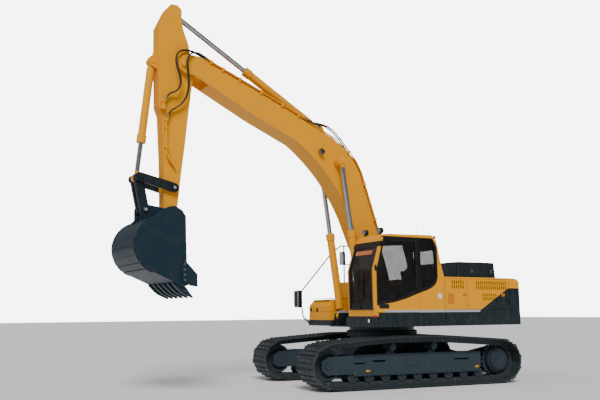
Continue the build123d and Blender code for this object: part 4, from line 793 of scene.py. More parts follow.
# Finishes of the fitted pieces
bolt_steel = cast_steel("bolt_steel", tone(96, 98, 100), rough=0.35, wear=0.5)
yellow_bolt = paint("yellow_bolt_paint", YELLOW, rough=0.35)
deep_yellow = paint("deep_yellow_paint", YELLOW_DEEP, rough=0.35)
pin_steel = cast_steel("pin_steel", tone(188, 190, 192), rough=0.28, wear=0.2)
black_plastic = moulded("black_plastic", tone(17, 18, 20), 0.42)
grip_rubber = rubber("grip_rubber", tone(18, 18, 19))
lamp_lens = glow("lamp_lens", tone(110, 116, 122), 0.02)
white_lens = glow("white_lens", tone(236, 240, 244), 0.3)
red_lens_and_painted_glow = glow("red_lens_and_painted_glow", tone(196, 52, 30), 0.15)
silver_trim = cast_steel("silver_trim", tone(206, 208, 212), rough=0.25, wear=0.1)
# Pale plate: the round plate's own colour, and a painted reflection on the small mirror's glass
pale_plate_and_painted_reflection = paint("pale_plate_and_painted_reflection", tone(228, 232, 236), rough=0.3, coat=0.4)
blind_cloth = woven("blind_cloth", tone(206, 112, 44))
slip_pad = cast_steel("slip_pad", tone(30, 31, 33), rough=0.75)


# Helpers of the fitted pieces
def pick_edges_along(piece, axis_index):
    """Enter edit mode with the edges that run along one axis selected."""
    take(piece)
    bpy.context.tool_settings.mesh_select_mode = (False, True, False)
    points = piece.data.vertices
    for point in points:
        point.select = False
    for face in piece.data.polygons:
        face.select = False
    for edge in piece.data.edges:
        first, second = (points[index].co for index in edge.vertices)
        line = second - first
        edge.select = abs(line[axis_index]) > 0.999 * line.length
    bpy.ops.object.mode_set(mode="EDIT")


def largest_facing(piece, axis):
    """A test for the largest face that looks along an axis."""
    test = facing(axis, SQUARE)
    found = max((face for face in piece.data.polygons if test(face)), key=lambda face: face.area)
    index = found.index
    return lambda face: face.index == index


def panel(low, high, axis, rim, depth, round_edge=0.0):
    """A plate whose face along an axis is sunk, or raised, inside a rim."""
    piece = cube(low, high)
    if round_edge:
        axis_index = max(range(3), key=lambda index: abs(axis[index]))
        pick_edges_along(piece, axis_index)
        bpy.ops.mesh.bevel(offset=round_edge, segments=4)
        bpy.ops.object.mode_set(mode="OBJECT")
    inset(piece, facing(axis, SQUARE), rim)
    inset(piece, largest_facing(piece, axis), PANEL_SLOPE, depth)
    return piece


def two_tone(piece, axis, finish):
    """Give the largest face along an axis a second finish."""
    middle = largest_facing(piece, axis)
    piece.data.materials.append(finish.material)
    for face in piece.data.polygons:
        if middle(face):
            face.material_index = 1


def lean_back(piece, degrees, pivot):
    """Turn a whole mesh about a line across the machine."""
    take(piece)
    bpy.ops.object.mode_set(mode="EDIT")
    bpy.ops.mesh.select_all(action="SELECT")
    bpy.ops.transform.rotate(
        value=math.radians(degrees), orient_axis="Y", orient_type="GLOBAL", center_override=pivot
    )
    bpy.ops.object.mode_set(mode="OBJECT")


# Seat: three stuffed cushions on a sprung base. Name, low corner, high corner, lean in degrees
SEAT_MIDDLE = 1.03
CUSHIONS = (
    ("seat_cushion", (0.085, 0.805, 1.735), (0.575, 1.255, 1.845), 0),
    ("seat_back", (-0.045, 0.815, 1.885), (0.065, 1.245, 2.395), -9),
    ("seat_headrest", (-0.100, 0.925, 2.445), (-0.015, 1.135, 2.615), -3),
)
CLOTH_FRAMES = 20
SEAT_FOLDS = 7
FOLD_FOOT = 1.477
FOLD_PITCH = 0.0315
FOLD_HEIGHT = 0.030


def stuffed(piece, voxel=0.010, swell=0.024):
    """Blow a closed shape up like a stuffed cushion, no point moving more than the swell."""
    take(piece)
    piece.data.remesh_voxel_size = voxel
    bpy.ops.object.voxel_remesh()
    before = [point.co.copy() for point in piece.data.vertices]
    bpy.ops.object.modifier_add(type="CLOTH")
    cloth = piece.modifiers[-1]
    cloth.settings.use_pressure = True
    cloth.settings.uniform_pressure_force = 4.0
    cloth.settings.effector_weights.gravity = 0.0
    for number in range(1, CLOTH_FRAMES + 1):
        bpy.context.scene.frame_set(number)
    bpy.ops.object.modifier_apply(modifier=cloth.name)
    for point, start in zip(piece.data.vertices, before):
        moved = point.co - start
        if moved.length > swell:
            point.co = start + moved.normalized() * swell
    bpy.context.scene.frame_set(1)
    bpy.ops.object.modifier_add(type="SUBSURF")
    rounding = piece.modifiers[-1]
    rounding.levels = 1
    bpy.ops.object.modifier_apply(modifier=rounding.name)


def build_seat():
    """The cushions, and the base with its plates, bellows, hinges and headrest bars."""
    for name, low, high, lean in CUSHIONS:
        piece = cube(low, high)
        middle = [(a + b) / 2 for a, b in zip(low, high)]
        lean_back(piece, lean, middle)
        soften(piece, width=0.035, segments=4)
        stuffed(piece)
        place(piece, name, "upper", seat_cloth)
        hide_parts("seat")
    frame_parts = [
        soften(cube((0.07, 0.79, 1.700), (0.59, 1.27, 1.733)), width=0.01),
        soften(cube((0.10, 0.84, 1.447), (0.54, 1.22, 1.475)), width=0.008),
        drum((-0.055, 0.97, 2.40), (-0.06, 0.97, 2.47), radius=0.008, sides=16),
        drum((-0.055, 1.09, 2.40), (-0.06, 1.09, 2.47), radius=0.008, sides=16),
    ]
    for level in range(SEAT_FOLDS):
        low_z = FOLD_FOOT + level * FOLD_PITCH
        fold = cube((0.12, 0.86, low_z), (0.52, 1.20, low_z + FOLD_HEIGHT))
        frame_parts.append(soften(fold, width=0.012, segments=3))
    for way in (-1, 1):
        low, high = sorted((SEAT_MIDDLE + way * 0.262, SEAT_MIDDLE + way * 0.285))
        hinge_plate = cube((0.02, low, 1.735), (0.16, high, 1.95))
        frame_parts.append(soften(hinge_plate, width=0.01))
    base = place(join(frame_parts), "seat_base", "upper", black_plastic)
    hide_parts("seat")


# Cab: middle lines of the pedals and the levers, and the folds of a lever's boot
PEDAL_LINES = (0.955, 1.105)
LEVER_LINES = (SEAT_MIDDLE - 0.325, SEAT_MIDDLE + 0.325)
BOOT_FOOT = 1.985
BOOT_FOLDS = 4
BOOT_PITCH = 0.016
BOOT_RADIUS = 0.052
BOOT_TAPER = 0.008
# Windscreen: x and height of its edge, its right and left sides and its middle, and its lean
SCREEN_EDGE = ((1.2665, 1.56), (1.2785, 2.352), (1.1225, 2.82))
SCREEN_RIGHT = 0.632
SCREEN_LEFT = 1.428
SCREEN_FOOT = (1.2665, 1.03, 1.56)
SCREEN_LEAN = 18.1
ROOF_HATCH = (
    (0.42, 0.765, 3.098),
    (0.145, 0.765, 3.100),
    (0.145, 1.295, 3.100),
    (0.705, 1.295, 3.094),
    (0.705, 0.765, 3.094),
    (0.42, 0.765, 3.098),
)


def fit_controls():
    """The display on its stand, the travel pedals, and the control levers' boots and grips."""
    display = panel(
        (0.985, 0.665, 2.02), (1.02, 0.885, 2.18), REAR, rim=0.014, depth=-0.004, round_edge=0.012
    )
    stand = drum((1.01, 0.775, 1.80), (1.01, 0.775, 2.03), radius=0.014, sides=20)
    place(join([display, stand]), "cab_display", "upper", black_plastic)
    controls = []
    for y in PEDAL_LINES:
        low, high = (0.93, y - 0.05, 1.475), (1.05, y + 0.05, 1.492)
        controls.append(panel(low, high, UP, rim=0.010, depth=-0.002, round_edge=0.01))
        stem = [(0.99, y, 1.49), (1.00, y, 1.70), (0.94, y, 1.98)]
        controls.append(tube(stem, radius=0.010, rounded=0.05))
        grip = drum((0.945, y, 1.93), (0.925, y, 2.03), radius=0.019, sides=20)
        controls.append(soften(grip, width=0.005))
        controls.append(drum((0.99, y, 1.447), (0.99, y, 1.478), radius=0.03, sides=24, top=0.016))
    for y in LEVER_LINES:
        for level in range(BOOT_FOLDS):
            foot = BOOT_FOOT + level * BOOT_PITCH
            radius = BOOT_RADIUS - level * BOOT_TAPER
            ring = drum((0.56, y, foot), (0.563, y, foot + 0.015), radius, sides=24)
            controls.append(soften(ring, width=0.004))
        grip = drum((0.582, y, 2.10), (0.592, y, 2.163), radius=0.03, sides=24)
        controls.append(soften(grip, width=0.012, segments=3))
    place(join(controls), "cab_controls", "upper", grip_rubber)


def fit_windscreen():
    """The windscreen's seal, wiper, rolled blind and sun strip."""
    around = [(x, SCREEN_RIGHT, z) for x, z in SCREEN_EDGE]
    around += [(x, SCREEN_LEFT, z) for x, z in reversed(SCREEN_EDGE)]
    seal = tube([SCREEN_FOOT, *around, SCREEN_FOOT], radius=0.013, rounded=0.03)
    place(seal, "windscreen_seal", "upper", black_rubber)
    rest_stop = cube((1.2705, 1.434, 1.53), (1.2735, 1.452, 1.56))
    arm = tube([(1.276, 0.96, 1.60), (1.292, 0.97, 1.72), (1.300, 1.10, 2.12)], radius=0.007, rounded=0.02)
    blade = soften(cube((1.283, 1.085, 1.76), (1.297, 1.115, 2.40)), width=0.005)
    hub = drum((1.262, 0.96, 1.60), (1.288, 0.96, 1.60), radius=0.022, sides=24)
    place(join([rest_stop, arm, blade, soften(hub, width=0.004)]), "screen_wiper", "upper", black_plastic)
    roll = drum((1.075, 0.66, 2.79), (1.075, 1.40, 2.79), radius=0.019, sides=24)
    place(soften(roll, width=0.004), "screen_blind", "upper", blind_cloth)
    strip = cube((1.1555, 0.72, 2.665), (1.1585, 1.30, 2.755))
    lean_back(strip, SCREEN_LEAN, (1.157, 1.01, 2.71))
    inset(strip, facing((1, 0, 0.32), 0.95), thickness=0.010, depth=0.0006)
    place(strip, "sun_strip", "upper", blind_cloth)


def fit_roof():
    """The rim of the roof hatch, the aerial and the rear lamp."""
    place(tube(ROOF_HATCH, radius=0.016, rounded=0.05), "roof_hatch_rim", "upper", black_rubber)
    socket = drum((-0.10, 1.22, 3.09), (-0.10, 1.22, 3.125), radius=0.018, sides=24, top=0.010)
    rod = tube([(-0.10, 1.22, 3.12), (-0.095, 1.22, 3.20), (-0.075, 1.22, 3.31)], radius=0.0035, rounded=0.02)
    place(join([socket, rod]), "cab_aerial", "upper", black_plastic)
    start, end = (-0.35, 1.42, 3.045), (-0.405, 1.42, 3.075)
    lamp = drum(start, end, radius=0.036, sides=28)
    inset(lamp, ends_of(start, end), thickness=0.006, depth=-0.003)
    place(soften(lamp, width=0.003), "cab_rear_lamp", "upper", red_lens_and_painted_glow)


def fit_door():
    """The door's pull and seal, and the bracket and catch on the front pillar."""
    pull = panel(
        (0.905, 1.4885, 1.572), (1.150, 1.4945, 1.662), LEFT, rim=0.009, depth=-0.004, round_edge=0.025
    )
    lever = soften(cube((0.965, 1.4905, 1.606), (1.10, 1.497, 1.626)), width=0.004)
    place(join([pull, lever]), "door_pull", "cab_door", black_plastic)
    seal = tube([(0.17, 1.4905, 2.0), (0.17, 1.4905, 2.95), (0.89, 1.4905, 2.95)], radius=0.006, rounded=0.05)
    place(seal, "door_seal", "cab_door", black_rubber)
    bracket = soften(cube((1.205, 1.482, 2.33), (1.250, 1.512, 2.44)), width=0.008)
    inset(bracket, facing(LEFT), thickness=0.008, depth=-0.003)
    place(bracket, "pillar_bracket", "upper", black_plastic)
    # The catch is no lamp, but its red finish glows: painted light
    catch = soften(cube((1.212, 1.484, 1.405), (1.282, 1.506, 1.447)), width=0.006)
    inset(catch, facing(LEFT), thickness=0.006, depth=0.003)
    place(catch, "corner_catch", "upper", red_lens_and_painted_glow)


build_seat()
fit_controls()
fit_windscreen()
fit_roof()
fit_door()


# Undercarriage: made in line with the machine and turned with the undercarriage.
# Places are x and height in metres, and each track's middle is TRACK_PLACE off the machine's.
SWING = math.radians(-7.36)
TRACK_PLACE = 1.300
IDLER = (2.015, 0.480)
SPROCKET = (-2.015, 0.470)
PIN_RADIUS = 0.358
CARRIERS = (0.560, -0.420)
CARRIER_HEIGHT = 0.805
CARRIER_LINE = 0.938
SHOE_FOOT = 0.098
SHOE_FACE = 0.072
SHOES = 48
SHOE_SHIFT = 0.25
SHOE_BOLT_STEPS = (-0.046, 0.046)
SHOE_BOLT_LANES = (-0.142, -0.082, 0.082, 0.142)
ROLLERS = 9
ROLLER_SPACING = 0.372
ROLLER_RUN = (ROLLERS - 1) / 2 * ROLLER_SPACING + 0.160
ROLLER_BOLT_STEPS = (-0.055, 0.055)
FRAME_SIDE = 0.200
FRAME_FOOT = 0.262
# Final drive: how far its cap and its flange stand from the track's middle
CAP_FACE = 0.192
FLANGE_FACE = 0.138
CAP_PLUGS = (0.6, 3.4)
TIE_DOWNS = (("front", 1.166, 0.356), ("rear", -1.430, 0.359))


def tangent(first, second):
    """Angle of the outward normal of the straight run between two stops of the track."""
    dx, dz = second[0] - first[0], second[1] - first[1]
    return math.atan2(dz, dx) - math.acos((first[2] - second[2]) / math.hypot(dx, dz))


def on_circle(x, z, radius, angle):
    """The (x, z) point at an angle round a stop."""
    return Vector((x + radius * math.cos(angle), z + radius * math.sin(angle)))


def track_stretches():
    """The loop of the link pins as stretches: length, then a stop and its first angle, or two ends."""
    stops = (
        (*IDLER, PIN_RADIUS),
        (CARRIERS[0], CARRIER_LINE, 0),
        (CARRIERS[1], CARRIER_LINE, 0),
        (*SPROCKET, PIN_RADIUS),
        (-ROLLER_RUN, SHOE_FOOT, 0),
        (ROLLER_RUN, SHOE_FOOT, 0),
    )
    stretches = []
    for index, stop in enumerate(stops):
        after = stops[(index + 1) % len(stops)]
        turn_in = tangent(stops[index - 1], stop)
        turn_out = tangent(stop, after)
        while turn_out < turn_in:
            turn_out += 2 * math.pi
        stretches.append((stop[2] * (turn_out - turn_in), stop, turn_in, False))
        start, end = on_circle(*stop, turn_out), on_circle(*after, turn_out)
        stretches.append(((end - start).length, start, end, True))
    return stretches


def pin_points():
    """The places of the link pins round the loop, as in the CAD track."""
    stretches = track_stretches()
    total = sum(stretch[0] for stretch in stretches)
    points = []
    for index in range(SHOES):
        distance = (index + SHOE_SHIFT) * total / SHOES
        for length, first, second, straight in stretches:
            if distance > length:
                distance -= length
                continue
            if straight:
                points.append(first.lerp(second, distance / length))
            else:
                points.append(on_circle(*first, second + distance / first[2]))
            break
    return points


def turned_with_tracks(piece):
    """Turn a finished piece with the undercarriage."""
    piece.data.transform(Matrix.Rotation(SWING, 4, "Z"))
    return piece


def place_on_tracks(piece, name, finish):
    """Turn a piece with the undercarriage and place it there."""
    place(turned_with_tracks(piece), name, "undercarriage", finish)


def shoe_bolts(side, way):
    """Four bolts on each shoe, over the link rails."""
    points = pin_points()
    spots = []
    for index, point in enumerate(points):
        following = points[(index + 1) % SHOES]
        along = (following - point).normalized()
        outward = Vector((along.y, -along.x))
        middle = (point + following) / 2 + outward * SHOE_FACE
        for step in SHOE_BOLT_STEPS:
            for lane in SHOE_BOLT_LANES:
                spot = middle + along * step
                here = (spot.x, way * TRACK_PLACE + lane, spot.y)
                spots.append(spot_at(here, (outward.x, 0, outward.y)))
    head = drum((0, 0, -0.001), (0, 0, 0.012), radius=0.017, sides=6, top=0.0155)
    place_on_tracks(join(spread(head, spots)), f"shoe_bolts_{side}", bolt_steel)


def final_drive_bolts(side, way):
    """Rings of bolts on the final drive, its raised cap and two plugs."""
    out = (0, way, 0)
    base = way * TRACK_PLACE
    hub = (SPROCKET[0], base + way * CAP_FACE, SPROCKET[1])
    flange = (SPROCKET[0], base + way * FLANGE_FACE, SPROCKET[1])
    parts = spread(bolt(0.026, 0.014), circle_spots(hub, out, radius=0.172, count=14))
    parts += spread(bolt(0.024, 0.012), circle_spots(flange, out, radius=0.242, count=20))
    cap = drum(hub, (hub[0], hub[1] + way * 0.016, hub[2]), radius=0.120, sides=48)
    inset(cap, facing(out, SQUARE), thickness=0.014, depth=-0.006)
    parts.append(soften(cap, width=0.003))
    for angle in CAP_PLUGS:
        x, z = on_circle(hub[0], hub[2], 0.085, angle)
        parts += spread(bolt(0.034, 0.016), [spot_at((x, hub[1] + way * 0.008, z), out)])
    place_on_tracks(join(parts), f"final_drive_bolts_{side}", frame_paint)


def track_frame_bolts(side, way):
    """The idler's axle cap, the rollers' bolts on the frame's foot and the upper rollers' caps."""
    out = (0, way, 0)
    base = way * TRACK_PLACE
    face = base + way * FRAME_SIDE
    axle = (IDLER[0], face, IDLER[1])
    boss = drum(axle, (IDLER[0], face + way * 0.020, IDLER[1]), radius=0.070, sides=36)
    inset(boss, facing(out, SQUARE), thickness=0.016, depth=-0.006)
    parts = [soften(boss, width=0.003)]
    ring = circle_spots(axle, out, radius=0.098, count=4, first=math.pi / 4)
    parts += spread(bolt(0.022, 0.012), ring)
    feet = []
    for index in range(1, ROLLERS - 1):
        x = (index - (ROLLERS - 1) / 2) * ROLLER_SPACING
        for step in ROLLER_BOLT_STEPS:
            feet.append(spot_at((x + step, face, FRAME_FOOT + 0.026), out))
    parts += spread(bolt(0.024, 0.012), feet)
    for x in CARRIERS:
        start = (x, base + way * 0.150, CARRIER_HEIGHT)
        lid = drum(start, (x, base + way * 0.162, CARRIER_HEIGHT), radius=0.056, sides=36)
        inset(lid, facing(out, SQUARE), thickness=0.010, depth=-0.004)
        parts.append(soften(lid, width=0.002))
        middle = (x, base + way * 0.1585, CARRIER_HEIGHT)
        parts += spread(bolt(0.016, 0.006), circle_spots(middle, out, radius=0.03, count=3))
    place_on_tracks(join(parts), f"track_frame_bolts_{side}", frame_paint)


def track_frame_plates(side, way):
    """The tie-down marks and the cover of the track adjuster."""
    out = (0, way, 0)
    face = way * TRACK_PLACE + way * FRAME_SIDE
    for name, x, z in TIE_DOWNS:
        low, high = sorted((face, face + way * 0.004))
        low, high = (x - 0.045, low, z - 0.018), (x + 0.045, high, z + 0.018)
        mark = panel(low, high, out, rim=0.006, depth=0.001, round_edge=0.006)
        place_on_tracks(mark, f"tie_down_mark_{name}_{side}", yellow_bolt)
    low, high = sorted((face, face + way * 0.010))
    cover = panel((0.02, low, 0.44), (0.30, high, 0.56), out, rim=0.014, depth=-0.003, round_edge=0.03)
    corners = [spot_at((x, face + way * 0.010, z), out) for x in (0.045, 0.275) for z in (0.465, 0.535)]
    cover = join([cover, *spread(bolt(0.016, 0.007), corners)])
    place_on_tracks(cover, f"adjuster_cover_{side}", frame_paint)


# Pins at the ends of the boom, arm and bucket.
# Name, x, z, face beyond the middle, radius, body, finishes of the plate and the pin
PIN_ENDS = (
    ("arm_pivot", 4.860, 6.395, 0.275, 0.055, "boom", yellow_bolt, yellow_bolt),
    ("arm_cylinder_foot", 1.673, 5.517, 0.114, 0.045, "boom", yellow_bolt, bolt_steel),
    ("bucket_pivot", 5.080, 3.350, 0.204, 0.030, "bucket", dark_paint, pin_steel),
    ("bucket_link", 5.567, 3.442, 0.204, 0.030, "bucket", dark_paint, pin_steel),
    ("rocker_pivot", 5.017, 3.895, 0.244, 0.026, "arm", dark_paint, pin_steel),
)


def pin_cap(radius):
    """A pin's end plate with a chamfer and its keeper bolt, at the origin along Z."""
    plate = drum((0, 0, -0.001), (0, 0, 0.012), radius + 0.022, sides=40)
    inset(plate, facing(UP, SQUARE), thickness=0.012, depth=0.004)
    soften(plate, width=0.002)
    keeper = spread(bolt(0.012, 0.008), [spot_at((radius + 0.012, 0, 0.009))])
    return join([plate, *keeper])


def pin_end(radius):
    """The pin's own chamfered end with its grease nipple, at the origin along Z."""
    end = drum((0, 0, 0.010), (0, 0, 0.022), radius, sides=36)
    inset(end, facing(UP, SQUARE), thickness=0.006, depth=0.002)
    nipple = drum((0, 0, 0.022), (0, 0, 0.034), radius=0.006, sides=12, top=0.004)
    return join([soften(end, width=0.002), nipple])


def fit_pins():
    """A cap and a pin end on both sides of each pivot."""
    for name, x, z, face, radius, body, plate_finish, pin_finish in PIN_ENDS:
        for side, way in SIDES:
            here = [spot_at((x, way * face, z), (0, way, 0))]
            place(spread(pin_cap(radius), here)[0], f"{name}_cap_{side}", body, plate_finish)
            place(spread(pin_end(radius), here)[0], f"{name}_end_{side}", body, pin_finish)


# Bucket: bolts of the side cutters on its cheeks, and the cross pins of the teeth
CUTTER_BOLTS = ((4.985, 2.400), (4.985, 2.300), (4.985, 2.200), (4.975, 2.110))
CUTTER_FACE = 0.748
TEETH = 6
TOOTH_PITCH = 0.2552
TOOTH_PIN = (4.942, 1.913)
TOOTH_PIN_HALF = 0.050


def fit_bucket():
    """The bolts of the side cutters and the pins of the teeth."""
    for side, way in SIDES:
        spots = [spot_at((x, way * CUTTER_FACE, z), (0, way, 0)) for x, z in CUTTER_BOLTS]
        heads = join(spread(bolt(0.034, 0.016), spots))
        place(heads, f"cutter_bolts_{side}", "bucket", bolt_steel)
    pins = []
    for index in range(TEETH):
        middle = (index - (TEETH - 1) / 2) * TOOTH_PITCH
        start = (TOOTH_PIN[0], middle - TOOTH_PIN_HALF, TOOTH_PIN[1])
        end = (TOOTH_PIN[0], middle + TOOTH_PIN_HALF, TOOTH_PIN[1])
        pin = drum(start, end, radius=0.015, sides=20)
        pins.append(inset(pin, ends_of(start, end), thickness=0.005, depth=-0.003))
    place(join(pins), "tooth_pins", "bucket", bolt_steel)


# Upper structure: its side face, and the places of what stands on it
SIDE_FACE = 1.490
# Small bolts on the left side: x, z, body
SIDE_BOLTS = (
    (0.552, 1.681, "cab_door"),
    (0.110, 1.661, "upper"),
    (-0.320, 1.702, "upper"),
    (-1.020, 1.808, "service_door_front"),
)
# Door locks: name, x, z, side, body
LOCKS = (
    ("service_front_lock", -1.130, 1.857, 1, "service_door_front"),
    ("service_rear_lock", -2.265, 1.857, 1, "service_door_rear"),
    ("pump_lock", -2.330, 1.857, -1, "pump_door"),
)
COVER_LATCHES = (-1.707, -2.288)
TOOL_BOX_LATCHES = (-1.37, -1.10)
TOOL_BOX_EDGE = ((0.65, -1.435), (0.98, -1.435), (0.98, -0.62), (0.31, -0.62), (0.31, -1.435), (0.65, -1.435))
TOOL_BOX_GAP = 1.5225
ROOF_LAMPS = (0.760, 1.290)
BOOM_LAMP = (Vector((1.700, 0.330, 4.950)), Vector((1.760, 0.330, 4.900)))
# Filler caps: name, x, y, foot, radius
FILLER_CAPS = (
    ("fuel_cap", -0.250, -1.050, 2.200, 0.078),
    ("oil_cap", -0.880, -1.000, 2.200, 0.123),
)
# Anti-slip pads: name, low corner, high corner, body
SLIP_PADS = (
    ("tool_box_pad", (0.330, -1.40, 1.8095), (0.945, -0.66, 1.815), "tool_box_lid"),
    ("tank_pad", (-0.100, -1.38, 2.1995), (0.180, -0.62, 2.205), "upper"),
    ("hood_pad", (-1.150, -0.45, 2.2345), (-0.640, 1.10, 2.240), "upper"),
)
EXHAUST = (-1.650, -1.080)


def fit_sides():
    """Small bolts, door locks, a bare round plate and a small hatch on the body's sides."""
    for index, (x, z, body) in enumerate(SIDE_BOLTS):
        head = spread(bolt(0.016, 0.007), [spot_at((x, SIDE_FACE, z), LEFT)])
        place(head[0], f"side_bolt_{index + 1}", body, yellow_bolt)
    for name, x, z, way, body in LOCKS:
        face = SIDE_FACE * way
        low, high = sorted((face, face + way * 0.006))
        low, high = (x - 0.05, low, z - 0.032), (x + 0.05, high, z + 0.032)
        lock = panel(low, high, (0, way, 0), rim=0.008, depth=-0.004, round_edge=0.02)
        low, high = sorted((face + way * 0.001, face + way * 0.011))
        handle = soften(cube((x - 0.036, low, z - 0.010), (x + 0.036, high, z + 0.010)), width=0.004)
        place(join([lock, handle]), name, body, deep_yellow)
    disc = drum((-0.435, SIDE_FACE, 1.827), (-0.435, SIDE_FACE + 0.004, 1.827), radius=0.058, sides=48)
    inset(disc, facing(LEFT, SQUARE), thickness=0.007, depth=-0.001)
    place(soften(disc, width=0.001), "round_plate", "upper", pale_plate_and_painted_reflection)
    low, high = (-0.825, SIDE_FACE, 1.665), (-0.654, SIDE_FACE + 0.004, 1.885)
    hatch = panel(low, high, LEFT, rim=0.010, depth=-0.002, round_edge=0.02)
    place(hatch, "small_hatch", "service_door_front", deep_yellow)


def fit_latches():
    """Latches of the engine cover, and the tool box's latches, seal and lock."""
    for index, x in enumerate(COVER_LATCHES):
        low, high = (x - 0.03, 1.119, 2.345), (x + 0.03, 1.126, 2.435)
        base = panel(low, high, LEFT, rim=0.006, depth=-0.002, round_edge=0.01)
        wire = (
            (x - 0.018, 1.130, 2.42),
            (x - 0.018, 1.142, 2.37),
            (x + 0.018, 1.142, 2.37),
            (x + 0.018, 1.130, 2.42),
        )
        hook = tube(wire, radius=0.0045, rounded=0.01)
        place(join([base, hook]), f"cover_latch_{index + 1}", "engine_cover", bolt_steel)
    for index, y in enumerate(TOOL_BOX_LATCHES):
        low, high = (1.000, y - 0.03, 1.515), (1.008, y + 0.03, 1.600)
        base = panel(low, high, FRONT, rim=0.006, depth=-0.002, round_edge=0.01)
        pull = soften(cube((1.006, y - 0.014, 1.535), (1.018, y + 0.014, 1.59)), width=0.005)
        place(join([base, pull]), f"tool_box_latch_{index + 1}", "upper", black_plastic)
    seal = tube([(x, y, TOOL_BOX_GAP) for x, y in TOOL_BOX_EDGE], radius=0.006, rounded=0.02)
    place(seal, "tool_box_seal", "upper", black_rubber)
    lock = drum((1.000, -1.235, 1.557), (1.009, -1.235, 1.557), radius=0.013, sides=24)
    inset(lock, facing(FRONT, SQUARE), thickness=0.004, depth=-0.002)
    place(lock, "tool_box_lock", "upper", bolt_steel)


def fit_mirrors():
    """A bright rim round the big mirror's dark back, and the small one's glass painted pale as a painted
    reflection.
    """
    rim = panel(
        (1.3145, -1.622, 1.622), (1.320, -1.423, 2.008), FRONT, rim=0.020, depth=-0.003, round_edge=0.045
    )
    place(rim, "mirror_rim", "upper", silver_trim)
    two_tone(rim, FRONT, black_plastic)
    # The small mirror's glass is painted pale: a painted reflection of the bright surround
    small = panel(
        (0.1128, -1.482, 2.638), (0.1165, -1.318, 2.942), FRONT, rim=0.012, depth=-0.002, round_edge=0.04
    )
    place(small, "small_mirror_face", "upper", pale_plate_and_painted_reflection)


def fit_lenses():
    """Lenses in their rims on the cab roof, the deck and the boom."""
    for index, y in enumerate(ROOF_LAMPS):
        lens = drum((0.965, y, 3.165), (0.978, y, 3.165), radius=0.060, sides=36)
        inset(lens, facing(FRONT, SQUARE), thickness=0.007, depth=-0.005)
        place(lens, f"roof_lamp_lens_{index + 1}", "upper", lamp_lens)
    deck = panel(
        (1.3155, 1.333, 1.300), (1.3185, 1.387, 1.358), FRONT, rim=0.005, depth=-0.001, round_edge=0.008
    )
    place(deck, "deck_lamp_lens", "upper", white_lens)
    start, end = BOOM_LAMP
    ahead = (end - start).normalized()
    lens = drum(end - ahead * 0.004, end + ahead * 0.008, radius=0.058, sides=36)
    inset(lens, facing(ahead, SQUARE), thickness=0.007, depth=-0.005)
    place(lens, "boom_lamp_lens", "boom", lamp_lens)


def fit_top():
    """Filler caps, anti-slip pads and the exhaust's clamp."""
    for name, x, y, foot, radius in FILLER_CAPS:
        cap = drum((x, y, foot), (x, y, foot + 0.050), radius, sides=40)
        pick(cap, lambda face: abs(face.normal.z) < 0.5)
        bpy.ops.mesh.inset(thickness=0.003, depth=0.002, use_individual=True)
        bpy.ops.object.mode_set(mode="OBJECT")
        inset(cap, facing(UP, SQUARE), thickness=radius * 0.3, depth=-0.006)
        neck = drum((x, y, foot - 0.001), (x, y, foot + 0.012), radius + 0.018, sides=40)
        place(join([cap, soften(neck, width=0.003)]), name, "upper", black_plastic)
    for name, low, high, body in SLIP_PADS:
        pad = cube(low, high)
        take(pad)
        bpy.ops.object.mode_set(mode="EDIT")
        bpy.ops.mesh.select_all(action="SELECT")
        bpy.ops.mesh.subdivide(number_cuts=11)
        bpy.ops.object.mode_set(mode="OBJECT")
        pick(pad, facing(UP, SQUARE))
        bpy.ops.mesh.inset(thickness=0.010, depth=0.002, use_individual=True)
        bpy.ops.object.mode_set(mode="OBJECT")
        place(pad, name, body, slip_pad)
    clamp = drum((*EXHAUST, 2.262), (*EXHAUST, 2.285), radius=0.069, sides=40)
    place(soften(clamp, width=0.004), "exhaust_clamp", "upper", bolt_steel)


for side, way in SIDES:
    shoe_bolts(side, way)
    final_drive_bolts(side, way)
    track_frame_bolts(side, way)
    track_frame_plates(side, way)
fit_pins()
fit_bucket()
fit_sides()
fit_latches()
fit_mirrors()
fit_lenses()
fit_top()


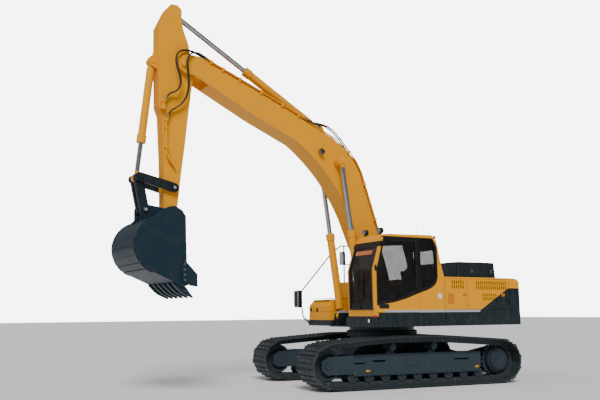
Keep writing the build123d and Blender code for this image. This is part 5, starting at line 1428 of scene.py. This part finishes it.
# Floor, light and camera. Strength of the surround as light and as seen by the camera.
# Suns: name, turn in degrees, strength, width in degrees
WORLD_LIGHT = 0.24
WORLD_SEEN = 6.5
SUNS = (("key_light", (48, 0, 150), 2.75, 25), ("fill_light", (60, 0, 60), 0.35, 60))
FLOOR_SIZE = 240
# Camera: place in metres, its turn as yaw, pitch and roll, and its lens in millimetres
CAMERA_PLACE = (10.070, 13.557, 1.524)
CAMERA_TURN = (math.radians(30.49), math.radians(8.555), -0.0072)
CAMERA_LENS = 44.496
VIEW_DEPTH = 400


def studio():
    """A pale floor, a white surround, a soft sun and the camera of the photograph."""
    bpy.ops.object.select_all(action="DESELECT")
    bpy.ops.mesh.primitive_plane_add(size=FLOOR_SIZE, location=(0, 0, 0))
    floor = bpy.context.object
    floor.name = "floor"
    pale = Finish("floor_paint", roughness=0.9)
    pale.put("Base Color", pale.mix(pale.noise(0.4, 3), tone(250, 250, 250), tone(246, 246, 247)))
    floor.data.materials.append(pale.material)
    scene = bpy.context.scene
    scene.world = bpy.data.worlds.new("surround")
    scene.world.use_nodes = True
    background = scene.world.node_tree.nodes["Background"]
    background.inputs["Color"].default_value = (1.0, 1.0, 1.0, 1)
    start = Wire(scene.world.node_tree)
    seen = start.node("ShaderNodeLightPath", output="Is Camera Ray")
    start.plug(background.inputs["Strength"], seen * (WORLD_SEEN - WORLD_LIGHT) + WORLD_LIGHT)
    for name, turn, strength, width in SUNS:
        bpy.ops.object.light_add(type="SUN", rotation=[math.radians(angle) for angle in turn])
        sun = bpy.context.object
        sun.name = name
        sun.data.energy = strength
        sun.data.angle = math.radians(width)
    bpy.ops.object.camera_add()
    camera = bpy.context.object
    yaw, pitch, roll = CAMERA_TURN
    ahead = Vector((-math.sin(yaw) * math.cos(pitch), -math.cos(yaw) * math.cos(pitch), math.sin(pitch)))
    right = ahead.cross(Vector(UP)).normalized()
    upward = right.cross(ahead)
    turned_right = right * math.cos(roll) + upward * math.sin(roll)
    turned_up = upward * math.cos(roll) - right * math.sin(roll)
    turn = Matrix((turned_right, turned_up, -ahead)).transposed()
    camera.matrix_world = Matrix.Translation(CAMERA_PLACE) @ turn.to_4x4()
    camera.data.lens = CAMERA_LENS
    camera.data.clip_end = VIEW_DEPTH
    scene.camera = camera


studio()
